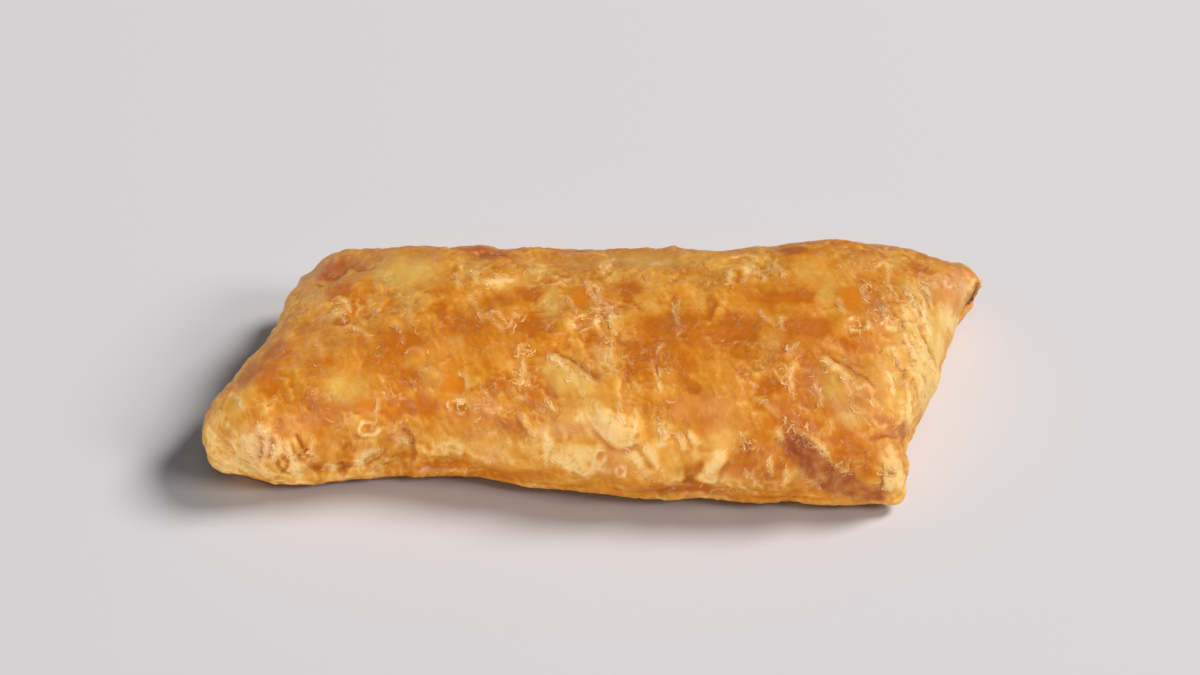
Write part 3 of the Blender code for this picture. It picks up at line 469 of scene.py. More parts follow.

# named ridges, creases and flake edges. Heights and half widths are in mm, paths lie on the crust

# A fold tints its line: cream on raised edges, russet in creases, which darkens them as browning and painted
# shade.
folds = {
    "left wrinkle": {"high": 1.48, "wide": 0.52, "tone": "cream", "amount": 1, "paths": [
        [(-87, -30.5, 20), (-86, -32, 17), (-84.5, -33, 14), (-82.5, -34, 12)],
        [(-85, -30.5, 20.5), (-84.5, -32, 17.5), (-83, -33, 15)],
        [(-82, -30.5, 21.5), (-81, -32, 19), (-82, -33.5, 15)],
        [(-79, -31.5, 21), (-78, -33, 18), (-79.5, -33.5, 15)],
        [(-90, -29, 16.5), (-89, -30, 13.5), (-88.5, -30.5, 10.5)],
        [(-83.5, -29.5, 22), (-82, -31, 21), (-80, -31.5, 20)],
        [(-80.5, -32, 19), (-80.5, -33, 16), (-79, -34, 13)],
    ]},
    "left crease": {"high": -1.38, "wide": 0.45, "tone": "russet", "amount": 0.7, "paths": [
        [(-85, -31.5, 18.5), (-83.5, -33, 16), (-82.5, -33.5, 13)],
        [(-80, -32, 20), (-80, -33, 17), (-81, -33.5, 13.5)],
        [(-75.5, -32, 18.5), (-74, -33, 14.5), (-71.5, -33, 12)],
        [(-78, -33.5, 15.5), (-76.5, -33.5, 12.5), (-77.5, -33, 7.5)],
        [(-86.5, -31, 19.5), (-86, -32.5, 16), (-84, -33.5, 13)],
        [(-82.5, -31.5, 20.5), (-82, -32.5, 17.5), (-83, -33.5, 14)],
        [(-90, -29, 14), (-88.5, -30, 11.5), (-86, -32.5, 10.5)],
        [(-79, -33.5, 14), (-78, -33.5, 10.5), (-76, -32.5, 7)],
        [(-74, -31, 20.5), (-73, -31.5, 18), (-71.5, -32.5, 15)],
    ]},
    "left fold": {"high": 0.96, "wide": 0.65, "tone": "cream", "amount": 0.54, "paths": [
        [(-77, -31.5, 19.5), (-75.5, -32.5, 16), (-75, -33.5, 13), (-74.5, -32, 7.5)],
        [(-69.5, -31.5, 19.5), (-70.5, -32.5, 16), (-69.5, -32, 10.5)],
    ]},
    "left fold creases": {"high": -0.96, "wide": 0.6, "tone": "russet", "amount": 0.48, "paths": [
        [(-72, -32, 16.5), (-71, -32.5, 14), (-69, -32, 11.5)],
    ]},
    "left scale": {"high": 0.8, "wide": 0.6, "tone": "cream", "amount": 0.52, "paths": [
        [(-68.5, -30.5, 7), (-66.5, -31, 9.5), (-65, -30.5, 6)],
    ]},
    "left scale creases": {"high": -0.96, "wide": 0.6, "tone": "russet", "amount": 0.65, "paths": [
        [(-64.5, -31, 10), (-63, -30, 8), (-63, -30, 5)],
    ]},
    "left nose pucker": {"high": -0.6, "wide": 0.6, "tone": "russet", "amount": 0.36, "paths": [
        [(-94, -25.5, 14.5), (-92, -27, 14), (-91, -28.5, 12)],
        [(-96, -24, 7), (-93.5, -26.5, 6)],
    ]},
    "left nose pucker ridges": {"high": 0.6, "wide": 0.6, "tone": "cream", "amount": 0.54, "paths": [
        [(-92, -18.5, 22), (-88.5, -23, 24), (-86.5, -26.5, 23)],
    ]},
    "front edge line": {"high": -1.05, "wide": 0.5, "tone": "russet", "amount": 0.55, "paths": [
        [(-52, -29.5, 14), (-54.5, -29.5, 10), (-58.5, -29.5, 7)],
    ]},
    "front edge puff": {"high": 0.9, "wide": 1, "tone": "cream", "amount": 0.33, "paths": [
        [(-60.5, -29.5, 7.5), (-57, -30.5, 12.5), (-53.5, -30, 14)],
    ]},
    "notch crack": {"high": -1.7, "wide": 0.5, "tone": "russet", "amount": 0.72, "paths": [
        [(-50, -29.5, 19), (-47, -28.5, 18), (-46, -27.5, 12.5), (-46, -27.5, 6)],
    ]},
    "notch roll": {"high": 1.02, "wide": 0.7, "tone": "cream", "amount": 0.48, "paths": [
        [(-50.5, -29.5, 16), (-48.5, -29, 16), (-46.5, -27.5, 13)],
    ]},
    "blister rim": {"high": 0.9, "wide": 0.55, "tone": "cream", "amount": 0.6, "paths": [
        [(-67, 6.5, 30), (-65, 6, 30.5), (-63, 3.5, 31), (-62.5, 0.5, 31)],
        [(-67.5, 3, 29.5), (-65, 0, 30.5), (-63, -3, 30.5)],
    ]},
    "blister foot": {"high": -1.05, "wide": 0.6, "tone": "russet", "amount": 0.6, "paths": [
        [(-66.5, -2, 30), (-64.5, -3.5, 30.5), (-62, -2.5, 30.5)],
    ]},
    "blister scale": {"high": 0.68, "wide": 0.6, "tone": "cream", "amount": 0.36, "paths": [
        [(-65, -6, 30.5), (-62, -5, 31), (-58, -8, 32), (-56, -12, 32.5)],
    ]},
    "back left crack": {"high": -0.95, "wide": 0.5, "tone": "russet", "amount": 0.63, "paths": [
        [(-72.5, 17, 24.5), (-70.5, 15, 26), (-67.5, 13.5, 28.5), (-65.5, 15, 28)],
        [(-65.5, 25, 24.5), (-62.5, 21.5, 27), (-59, 18.5, 29), (-56, 21, 29)],
        [(-71, 21.5, 24), (-69, 24.5, 24), (-65.5, 26, 24.5)],
    ]},
    "pucker a": {"high": 0.35, "wide": 0.56, "tone": "cream", "amount": 0.3, "paths": [
        [(-49.5, 5, 32), (-47.5, 1, 32.5), (-47.5, -4, 32.5), (-45, -8.5, 33)],
        [(-32.5, 3, 33), (-30.5, -1, 33), (-29, -7, 33.5)],
        [(-70, -9.5, 30), (-68.5, -13, 30.5), (-67.5, -16.5, 30.5)],
        [(-52, -4.5, 32), (-49.5, -8, 32.5), (-48, -12.5, 32.5)],
        [(-48, -15, 32), (-45.5, -14, 32), (-42.5, -15.5, 31.5)],
    ]},
    "pucker a creases": {"high": -0.5, "wide": 0.7, "tone": "russet", "amount": 0.2, "paths": [
        [(-38.5, 2, 33.5), (-39.5, -1.5, 33.5), (-40, -5.5, 33)],
    ]},
    "back wisp": {"high": 0.37, "wide": 0.53, "tone": "cream", "amount": 0.52, "paths": [
        [(-37.5, 13.5, 33), (-36, 10, 33), (-35, 7, 33.5)],
        [(-32.5, 14, 33), (-31.5, 10.5, 33), (-31, 7.5, 33)],
        [(-30.5, 8.5, 33.5), (-26.5, 8.5, 33.5), (-22.5, 9.5, 33.5), (-20, 8.5, 33.5)],
        [(-18.5, 16, 31.5), (-16.5, 14, 32), (-14, 16.5, 31)],
        [(-14, 9, 32.5), (-11.5, 9.5, 32.5), (-9, 11, 32), (-7, 11.5, 32.5)],
        [(-0.5, 12, 32.5), (1, 16, 32), (3.5, 22.5, 29.5)],
    ]},
    "back wisp creases": {"high": -0.4, "wide": 0.6, "tone": "amber", "amount": 0.4, "paths": [
        [(1, 11, 32.5), (2.5, 15.5, 32.5), (5.5, 20, 30.5)],
    ]},
    "scale m": {"high": 0.42, "wide": 0.46, "tone": "cream", "amount": 0.52, "paths": [
        [(-28.5, -1.5, 33.5), (-26.5, -5.5, 33.5), (-24, -8.5, 33)],
        [(-28, -1.5, 33.5), (-25.5, -3, 33.5), (-23.5, -5.5, 33.5)],
        [(-22.5, -7.5, 33), (-22, -4.5, 33.5), (-21, -2.5, 33.5)],
        [(-20.5, -14.5, 31), (-20, -13, 31.5), (-18, -12, 32)],
        [(-19, -16, 30), (-19.5, -20, 29.5), (-20, -24, 27.5)],
        [(-17.5, -19, 29.5), (-18, -22, 28.5), (-17.5, -24, 27.5)],
        [(-1, 7.5, 33), (-0.5, 2.5, 33.5), (2.5, -0.5, 33.5), (5, -6, 34)],
        [(1, -2.5, 33.5), (2, -6, 34), (3, -11, 33)],
        [(-2.5, 6, 33), (-1.5, 1, 33.5), (-1.5, -4.5, 34.5)],
        [(-1, -9, 33.5), (1, -11, 33), (4, -13.5, 33)],
        [(19, 4, 33), (18, 0.5, 33), (17, -2.5, 33)],
        [(15, -12, 33), (14, -14, 32.5), (13, -16.5, 32.5)],
        [(14.5, -19.5, 31.5), (13.5, -22.5, 30.5), (14, -26, 29)],
        [(19, 1, 33), (18, -4, 33), (19.5, -8.5, 33.5)],
    ]},
    "crease m": {"high": -0.63, "wide": 0.63, "tone": "russet", "amount": 0.33, "paths": [
        [(-15, -22.5, 28.5), (-13, -25, 28), (-10.5, -26, 27.5)],
        [(29, 3, 33), (27.5, 0.5, 32.5), (26, -4, 32.5)],
        [(20, -24.5, 30), (21.5, -25.5, 29), (23.5, -26, 29)],
    ]},
    "split one": {"high": -1.43, "wide": 0.41, "tone": "russet", "amount": 0.77, "paths": [
        [(-12, -12.5, 32), (-10, -15, 31), (-7, -16, 30), (-3.5, -19.5, 30), (0, -22.5, 30)],
    ]},
    "split one lip": {"high": 0.78, "wide": 0.54, "tone": "cream", "amount": 0.88, "paths": [
        [(-13, -14.5, 31.5), (-11.5, -17.5, 31), (-9, -19, 30.5), (-6, -21.5, 30)],
    ]},
    "split one scale": {"high": 0.52, "wide": 0.45, "tone": "cream", "amount": 0.55, "paths": [
        [(-9, -21.5, 30), (-7, -22.5, 30), (-5.5, -25, 29), (-4.5, -27, 28)],
        [(-13.5, -25.5, 27.5), (-12.5, -27.5, 26.5), (-11.5, -29, 25.5)],
        [(-6.5, -18, 30.5), (-3.5, -22, 30), (-0.5, -24.5, 29.5)],
    ]},
    "scale m creases": {"high": -0.6, "wide": 0.45, "tone": "russet", "amount": 0.4, "paths": [
        [(0, -1, 33.5), (1, -5.5, 34), (1.5, -9.5, 33.5)],
    ]},
    "lobe edge": {"high": 0.5, "wide": 0.7, "tone": "cream", "amount": 0.5, "paths": [
        [(-2, -32, 25), (0, -34, 23), (2.5, -35.5, 22), (5.5, -36, 21), (9, -35.5, 23)],
    ]},
    "lobe foot": {"high": -0.7, "wide": 0.6, "tone": "russet", "amount": 0.45, "paths": [
        [(-2.5, -32.5, 24), (-0.5, -34.5, 22), (2.5, -36, 20), (6, -36.5, 20), (9.5, -36, 22)],
    ]},
    "petal": {"high": 0.63, "wide": 0.59, "tone": "cream", "amount": 0.47, "paths": [
        [(3.5, -28, 28.5), (4, -31, 27), (4.5, -34, 25.5)],
        [(7.5, -28.5, 27.5), (8, -32, 26), (7.5, -35, 24)],
        [(-2, -27.5, 28), (-1, -30.5, 27), (0.5, -32.5, 25)],
        [(5.5, -36.5, 20.5), (7, -37.5, 18.5), (9.5, -38.5, 16), (12, -39, 13.5)],
        [(10, -36, 22), (11.5, -38, 19.5), (13.5, -38.5, 15)],
        [(14, -32, 26), (14.5, -34.5, 24), (14, -37, 21)],
        [(-12, -34.5, 15.5), (-9.5, -35, 13.5), (-6, -35.5, 11), (-3, -35.5, 7.5)],
        [(-14.5, -31.5, 22), (-13.5, -33.5, 19), (-14, -34, 15)],
        [(-20.5, -28, 24.5), (-18, -30.5, 22.5), (-16, -32.5, 20.5)],
        [(17.5, -34.5, 24), (19, -36, 22.5), (19.5, -37, 20)],
        [(20.5, -34, 24.5), (21.5, -35.5, 23), (23.5, -36.5, 21.5)],
        [(34, -39, 16), (36, -39.5, 13.5), (37.5, -40, 10.5)],
    ]},
    "petal creases": {"high": -0.77, "wide": 0.49, "tone": "russet", "amount": 0.36, "paths": [
        [(9, -35, 24), (7.5, -36, 22.5), (8.5, -37.5, 20)],
        [(8.5, -36.5, 21), (10, -38, 19), (12, -38.5, 15.5)],
        [(-21.5, -28.5, 24), (-19.5, -31, 22), (-17.5, -32.5, 19.5)],
        [(19.5, -34, 24.5), (20.5, -36, 22.5), (21.5, -37, 20)],
    ]},
    "blush scale": {"high": 0.38, "wide": 0.55, "tone": "cream", "amount": 0.34, "paths": [
        [(-29.5, -25.5, 26.5), (-28, -27, 25), (-26, -28, 23.5)],
        [(-28.5, -24, 27.5), (-26.5, -26, 26), (-24.5, -27.5, 24)],
        [(-41.5, -29, 12), (-38.5, -29.5, 14.5), (-35, -30, 14.5)],
        [(-11, -31, 23.5), (-9.5, -32.5, 22.5), (-9.5, -33.5, 20)],
    ]},
    "blush scale creases": {"high": -0.4, "wide": 0.5, "tone": "russet", "amount": 0.3, "paths": [
        [(-30.5, -26, 26), (-29, -28, 24), (-27, -29, 22.5)],
    ]},
    "gritty spot": {"high": 0.5, "wide": 0.5, "tone": "russet", "amount": 0.3, "paths": [
        [(32, -35, 24.5), (34, -36, 23.5), (36, -37, 22)],
    ]},
    "gritty spot creases": {"high": -0.5, "wide": 0.5, "tone": "russet", "amount": 0.4, "paths": [
        [(33.5, -37, 22.5), (35, -38, 20.5), (34.5, -38.5, 18.5)],
    ]},
    "lobe ridge": {"high": 0.6, "wide": 0.9, "tone": "cream", "amount": 0.3, "paths": [
        [(30.5, -37.5, 21), (26.5, -39.5, 18), (24, -39, 11.5)],
    ]},
    # painted shade under the lobe, laid as russet in this crease
    "lobe crease": {"high": -1.1, "wide": 0.7, "tone": "russet", "amount": 0.8, "paths": [
        [(24.5, -38, 17.5), (22.5, -38, 13), (21.5, -37.5, 9.5), (23.5, -38, 7.5)],
    ]},
    "lobe right crease": {"high": -0.6, "wide": 0.7, "tone": "russet", "amount": 0.3, "paths": [
        [(31, -38.5, 19), (29, -39.5, 15), (27.5, -39, 9)],
    ]},
    "front streak": {"high": 0.59, "wide": 0.45, "tone": "cream", "amount": 0.66, "paths": [
        [(40, -38, 20), (40.5, -39.5, 17.5), (40.5, -40, 14)],
        [(44, -39.5, 16.5), (44, -39.5, 14), (44, -40, 11)],
        [(41, -34.5, 25), (42.5, -35.5, 24), (43, -36.5, 22.5)],
        [(49.5, -38.5, 12.5), (51.5, -38.5, 10.5), (53, -38.5, 8)],
    ]},
    "seam line": {"high": -0.4, "wide": 0.4, "tone": "russet", "amount": 0.37, "paths": [
        [(-30, -30, 4.5), (-20, -33, 5), (-10.5, -34.5, 5), (-0.5, -35.5, 4.5)],
        [(-0.5, -35.5, 5.5), (9, -38, 6.5), (19, -38.5, 6.5), (28.5, -38, 6.5)],
        [(33.5, -39, 6), (45.5, -39, 5), (57.5, -39, 5)],
    ]},
    "seam line ridges": {"high": 0.38, "wide": 0.45, "tone": "cream", "amount": 0.35, "paths": [
        [(9, -38.5, 14.5), (16.5, -39, 10), (23.5, -38, 7.5)],
        [(-45, -28.5, 5), (-37.5, -28.5, 4.5), (-31, -30, 5)],
    ]},
    "back flake": {"high": 0.39, "wide": 0.56, "tone": "cream", "amount": 0.52, "paths": [
        [(31, 15.5, 32), (31.5, 12, 32.5), (32, 8.5, 33.5)],
        [(36.5, 16.5, 31.5), (36, 12.5, 32), (35, 9, 33)],
        [(39, 16, 31.5), (40, 12.5, 32), (41.5, 10, 33)],
        [(42.5, 19, 31.5), (44.5, 15, 32.5), (46, 11, 33.5)],
        [(32, 21, 31), (36, 22.5, 30), (39.5, 20.5, 30.5)],
    ]},
    "back flake creases": {"high": -0.5, "wide": 0.6, "tone": "russet", "amount": 0.3, "paths": [
        [(33.5, 15, 32), (34, 11.5, 32.5), (33, 8.5, 33)],
    ]},
    "scale r": {"high": 0.54, "wide": 0.47, "tone": "cream", "amount": 0.64, "paths": [
        [(38.5, 0.5, 32), (39.5, -2.5, 32.5), (41.5, -5.5, 32.5)],
        [(44, -3, 32.5), (43.5, -6, 32.5), (44.5, -8.5, 32.5)],
        [(47.5, -11.5, 32), (46, -13.5, 31.5), (44.5, -15.5, 31.5)],
        [(46, -17.5, 31.5), (45, -22.5, 30.5), (45.5, -27, 28.5)],
        [(50.5, -22.5, 29), (52, -25, 28), (52.5, -28.5, 26.5)],
        [(66, 12.5, 30.5), (64.5, 7, 31), (66, 3, 31)],
        [(67.5, 3.5, 31), (69.5, 0.5, 30.5), (70.5, -3, 29.5)],
        [(68.5, -3, 30), (70.5, -1, 30), (72.5, -2.5, 29)],
        [(68, 18.5, 29.5), (71, 21.5, 28), (72, 18.5, 28), (71, 12.5, 29)],
    ]},
    "scale r creases": {"high": -0.65, "wide": 0.51, "tone": "russet", "amount": 0.4, "paths": [
        [(47, -19, 31), (46.5, -22.5, 30), (47, -26, 29)],
        [(51.5, -22.5, 29), (53.5, -24.5, 27.5), (54.5, -25.5, 27)],
        [(67.5, 9, 30.5), (69, 4.5, 30.5), (69, 0.5, 30.5)],
        [(70, 7, 30.5), (71.5, 3, 30), (73, 0, 29.5)],
    ]},
    "split two": {"high": -1.43, "wide": 0.41, "tone": "russet", "amount": 0.77, "paths": [
        [(54.5, -12.5, 30.5), (56.5, -16, 30), (60, -16.5, 28.5), (63.5, -18.5, 27), (67, -21.5, 25)],
    ]},
    "split two lip": {"high": 0.78, "wide": 0.54, "tone": "cream", "amount": 0.88, "paths": [
        [(53, -15, 31), (55, -17.5, 30), (57.5, -19, 29.5), (60.5, -20.5, 27.5)],
    ]},
    "split two scale": {"high": 0.54, "wide": 0.45, "tone": "cream", "amount": 0.55, "paths": [
        [(57.5, -19.5, 29), (59, -22, 28), (60, -24.5, 26)],
        [(60.5, -22.5, 27), (64, -21, 26.5), (65.5, -24, 25)],
        [(64, -24.5, 25), (66, -25, 24), (68, -25.5, 22)],
    ]},
    "end streak": {"high": 0.93, "wide": 0.51, "tone": "cream", "amount": 0.9, "paths": [
        [(75.5, 14.5, 28), (76.5, 10, 28.5), (77, 6, 28)],
        [(79, 6, 27.5), (80, 1.5, 26.5), (81, -2, 23.5)],
        [(73, -2, 29), (75, -7, 27.5), (77, -10.5, 24)],
        [(74.5, -7, 27.5), (78.5, -8.5, 24), (83.5, -3.5, 12.5)],
        [(75.5, -18, 19.5), (75, -22, 17.5), (76, -23, 13)],
        [(69, -14.5, 26), (70.5, -17.5, 24), (70.5, -21.5, 22.5)],
        [(81, 18.5, 24.5), (82, 14, 24.5), (82, 8, 24)],
        [(76, 12.5, 28), (77, 8, 28.5), (77.5, 4.5, 28), (78.5, 1, 27)],
        [(73.5, 6, 29), (75, 2.5, 28.5), (75.5, -2, 28)],
        [(77.5, -3.5, 26.5), (78.5, -6.5, 24.5), (81, -5.5, 19)],
        [(73.5, -15, 23.5), (74.5, -17.5, 21), (75, -20, 19)],
        [(70, -8.5, 28.5), (72, -11, 27), (73.5, -13.5, 24.5)],
        [(77.5, -12, 22.5), (78.5, -13.5, 19), (79, -12.5, 13)],
    ]},
    "end streak creases": {"high": -1.13, "wide": 0.4, "tone": "russet", "amount": 0.6, "paths": [
        [(77.5, 4, 28), (78.5, 0.5, 27), (79, -2.5, 26)],
        [(74, -9, 27), (76.5, -12, 23.5), (80, -9.5, 16)],
        [(71.5, -12.5, 26), (73.5, -13.5, 24), (74, -18, 21.5)],
        [(73.5, 0.5, 29), (74.5, -4.5, 28.5), (76.5, -8, 26), (78.5, -9.5, 23.5)],
        [(80, -4.5, 24.5), (81.5, -4.5, 20), (82.5, -4.5, 16)],
        [(77, 11.5, 28), (78, 7, 28), (78.5, 3, 27.5)],
        [(79, -1.5, 26.5), (80, -4, 24.5), (81.5, -4, 20.5)],
        [(76, -13, 22.5), (77, -15, 20), (77.5, -16, 16)],
        [(73.5, -6.5, 28), (75.5, -9.5, 26), (77.5, -11, 23)],
    ]},
    "gritty ridge": {"high": 1.1, "wide": 0.5, "tone": "cream", "amount": 0.37, "paths": [
        [(43, -33, 27), (46.5, -34.5, 25), (50.5, -36.5, 23.5), (53, -38, 20.5), (56, -38.5, 17),
         (59, -37.5, 13.5)],
    ]},
    "gritty ridge start": {"high": 0.5, "wide": 0.6, "tone": "cream", "amount": 0.37, "paths": [
        [(36, -27, 29), (39, -29.5, 28.5), (43, -33, 26.5)],
    ]},
    "fold foot": {"high": -1, "wide": 1.1, "tone": "russet", "amount": 0.9, "paths": [
        [(43, -34.5, 25), (46, -36.5, 21), (50.5, -37.5, 18), (55, -38.5, 14.5), (60.5, -38, 9),
         (66.5, -38.5, 6.5)],
    ]},
    "knob top crease": {"high": -1.35, "wide": 0.7, "tone": "russet", "amount": 0.72, "paths": [
        [(63.5, -34, 20.5), (66, -32.5, 20.5), (69.5, -29.5, 18.5)],
    ]},
    "knob crease": {"high": -0.98, "wide": 0.6, "tone": "russet", "amount": 0.6, "paths": [
        [(65.5, -37, 17), (67.5, -38, 15.5), (71, -37.5, 12)],
        [(67, -38, 15), (67.5, -38.5, 11.5), (67.5, -38.5, 7)],
    ]},
    "knob crease ridges": {"high": 0.75, "wide": 0.6, "tone": "cream", "amount": 0.72, "paths": [
        [(67.5, -38, 15), (68.5, -38.5, 11.5), (68.5, -38.5, 8.5)],
    ]},
    "hollow wisp": {"high": 0.4, "wide": 0.5, "tone": "cream", "amount": 0.5, "paths": [
        [(65, -29, 22.5), (67, -29, 20), (69.5, -27, 19.5)],
    ]},
    "hollow wisp ridges blush": {"high": 0.4, "wide": 0.5, "tone": "blush", "amount": 0.5, "paths": [
        [(68, -26.5, 21), (70.5, -26.5, 19), (73, -26.5, 16.5)],
    ]},
    "right scale": {"high": 0.35, "wide": 0.5, "tone": "cream", "amount": 0.38, "paths": [
        [(54.5, -31, 25.5), (55, -32.5, 24.5), (54, -35, 23)],
        [(59, -26.5, 25.5), (61.5, -27, 24.5), (62.5, -28.5, 23.5)],
    ]},
    "tip hollow": {"high": -0.5, "wide": 0.9, "tone": "russet", "amount": 0.5, "paths": [
        [(87.5, 25.5, 22), (89, 23.5, 21), (89, 20.5, 20)],
    ]},
    "window rim": {"high": 0.62, "wide": 0.5, "tone": "cream", "amount": 0.62, "paths": [
        [(-4.5, 10.5, 32.5), (-3, 6.5, 33), (-1, 1.5, 33.5)],
        [(-9, 5, 33), (-7.5, 0.5, 33.5), (-6.5, -4, 34)],
        [(64, 11.5, 31), (65.5, 8, 31), (66, 4.5, 31)],
        [(58, 5, 32), (59, 1.5, 31.5), (60, -1.5, 32)],
        [(-35, -19, 29.5), (-33, -20.5, 28.5), (-32.5, -23.5, 27.5)],
        [(-54.5, -25, 27), (-54, -27, 25.5), (-55.5, -28.5, 24)],
    ]},
    "gap wisp": {"high": -0.79, "wide": 0.4, "tone": "russet", "amount": 0.54, "paths": [
        [(67.5, 3.5, 31), (68, 1.5, 30.5), (69, -1, 30), (69.5, -2, 29.5)],
        [(69.5, 2, 30.5), (70.5, 0, 30), (72, -1.5, 29.5)],
        [(67.5, 15, 30), (69, 14, 29.5), (70, 13.5, 29)],
        [(72.5, 12.5, 28.5), (74, 9.5, 29), (74.5, 7.5, 29)],
        [(78.5, 4.5, 28), (79, 1.5, 27), (80, -1.5, 25.5)],
        [(-1, 7.5, 33), (-0.5, 4, 33), (0, 1, 33.5)],
        [(1.5, 2.5, 33), (3, -1.5, 33.5), (4.5, -4.5, 33.5)],
    ]},
    "gap wisp ridges": {"high": 0.7, "wide": 0.4, "tone": "cream", "amount": 0.75, "paths": [
        [(69, 3.5, 30.5), (70, 2.5, 30.5), (70, 1, 30.5)],
        [(69, 1, 30.5), (69.5, -0.5, 30), (70.5, -1.5, 30)],
        [(71, 13.5, 29), (72.5, 11, 29), (73.5, 7.5, 29)],
        [(80, 13.5, 25.5), (80, 7, 27), (80.5, 3, 26.5)],
        [(-2, 9, 32.5), (-1, 6, 33), (0, 2.5, 33)],
        [(0.5, 0, 33.5), (2, -3, 33.5), (3.5, -6, 34)],
    ]},
}
foldEnds = 0.18   # share of a path over which it fades at each end
foldWander = {"lump": 1.9, "push": 0.45}
sheetEase = (2.6, 0.75)   # how far a raised edge eases on its sheet's side and outside it, in half widths
foldShare = 0.4          # share of the heights above that the relief takes
foldReach = 4            # a fold is looked for within so many half widths
foldCalms = 0.6          # how far a fold smooths the scales beside it
ringReach = 2.5          # a ring is looked for within that share of its size
ringBreaks = (2.2, -0.35, 0.3)   # size of the gaps in a rim, and the noise at which it goes and is whole

# round features: (x, y, z, half length, half width, turn, rim height, rim half width, floor depth)
rings = {
    "burst ring near the middle": (-4.5, -6.5, 33.5, 2.6, 2.2, 0, 0.34, 0.32, 0.12),
    "burst ring near the end": (62.5, -4, 31, 2.8, 2.2, 20, 0.34, 0.32, 0.12),
    "burst ring at the left": (-34.5, -25.5, 24, 2.4, 1.6, 0, 0.34, 0.32, 0.12),
    "burst ring far left": (-56.5, -29.5, 20.5, 2.4, 1.8, 0, 0.34, 0.32, 0.12),
    "front blister": (-0.5, -35.5, 17, 1.8, 1.4, 75, 0.42, 0.34, 0.16),
    "small front blister": (4.5, -37.5, 13.5, 1.6, 1.2, 65, 0.38, 0.3, 0.14),
    "tip blister": (88, 21.5, 21.5, 1.6, 0.8, 40, 0.3, 0.3, 0.2),
}


def alongPath(spots, up, path):  # distance from the path, above 0 on its left; and the share along it
    knots = np.array(path, float)
    lengths = np.maximum(np.linalg.norm(np.diff(knots, axis=0), axis=1), 1e-6)
    starts = np.concatenate([[0], np.cumsum(lengths)])
    best = np.full(len(spots), 1e9)
    share = np.zeros(len(spots))
    for a, b, start, length in zip(knots[:-1], knots[1:], starts, lengths):
        t = np.clip((spots - a) @ (b - a) / length**2, 0, 1)
        offset = spots - a - t[:, None] * (b - a)
        distance = np.linalg.norm(offset, axis=1)
        left = (offset * np.cross(up, (b - a) / length)).sum(1)
        closer = distance < np.abs(best)
        best[closer] = np.copysign(distance, left)[closer]
        share[closer] = ((start + t * length) / starts[-1])[closer]
    return best, share


def curvePath(path):  # a smooth line through the path's knots
    knots = np.array([path[0], *path, path[-1]], float)
    out = []
    for p0, p1, p2, p3 in zip(knots, knots[1:], knots[2:], knots[3:]):
        for t in (0, 0.25, 0.5, 0.75):
            out.append(0.5 * (2 * p1 + t * (p2 - p0) + t * t * (2 * p0 - 5 * p1 + 4 * p2 - p3)
                              + t**3 * (3 * p1 - p0 - 3 * p2 + p3)))
    return np.array([crustTree.find_nearest(Vector(p))[0] for p in [*out, path[-1]]])


def layFolds():
    spots = wander(points, foldWander["lump"], foldWander["push"], 21)
    height = np.zeros(len(points))
    tint = {name: np.zeros(len(points)) for name in tones}
    calm = np.zeros(len(points))
    for fold in folds.values():
        for path in fold["paths"]:
            line = curvePath(path)
            reach = foldReach * fold["wide"]
            low, high = line.min(0) - reach, line.max(0) + reach
            near = np.where(((spots > low) & (spots < high)).all(1))[0]
            distance, share = alongPath(spots[near], normals[near], line)
            ends = rise(share, -0.01, foldEnds) * (1 - rise(share, 1 - foldEnds, 1.01))
            wide = fold["wide"]
            if fold["high"] > 0:   # the edge of a sheet: steep outside, easing away on the sheet's own side
                wide = np.where(distance > 0, sheetEase[0], sheetEase[1]) * wide
            height[near] += fold["high"] * np.exp(-((distance / wide) ** 2)) * ends
            line = np.exp(-((distance / fold["wide"]) ** 2)) * ends
            calm[near] = np.maximum(calm[near], foldCalms * line)
            tint[fold["tone"]][near] = np.maximum(tint[fold["tone"]][near], fold["amount"] * line)
    return height, tint, calm


def layRings():
    spots = wander(points, foldWander["lump"], foldWander["push"], 25)
    height = np.zeros(len(points))
    rimTint = np.zeros(len(points))
    inside = np.zeros(len(points))
    for x, y, z, half, width, turn, rimHigh, rimWide, floor in rings.values():
        centre = np.array((x, y, z))
        near = np.where(np.abs(spots - centre).max(1) < ringReach * max(half, width))[0]
        along, across, _ = layFrame(centre, turn)
        offset = spots[near] - centre
        u, v = offset @ along / half, offset @ across / width
        reach = np.sqrt(u * u + v * v)
        fromRim = (reach - 1) * min(half, width)
        broken = rise(mottle(points[near], ringBreaks[0], 27), *ringBreaks[1:])
        rim = np.exp(-((fromRim / rimWide) ** 2)) * broken
        hollow = 1 - rise(reach, 0.5, 1.0)
        height[near] += rimHigh * rim - floor * hollow
        rimTint[near] = np.maximum(rimTint[near], rim)
        inside[near] = np.maximum(inside[near], hollow)
    return height, rimTint, inside


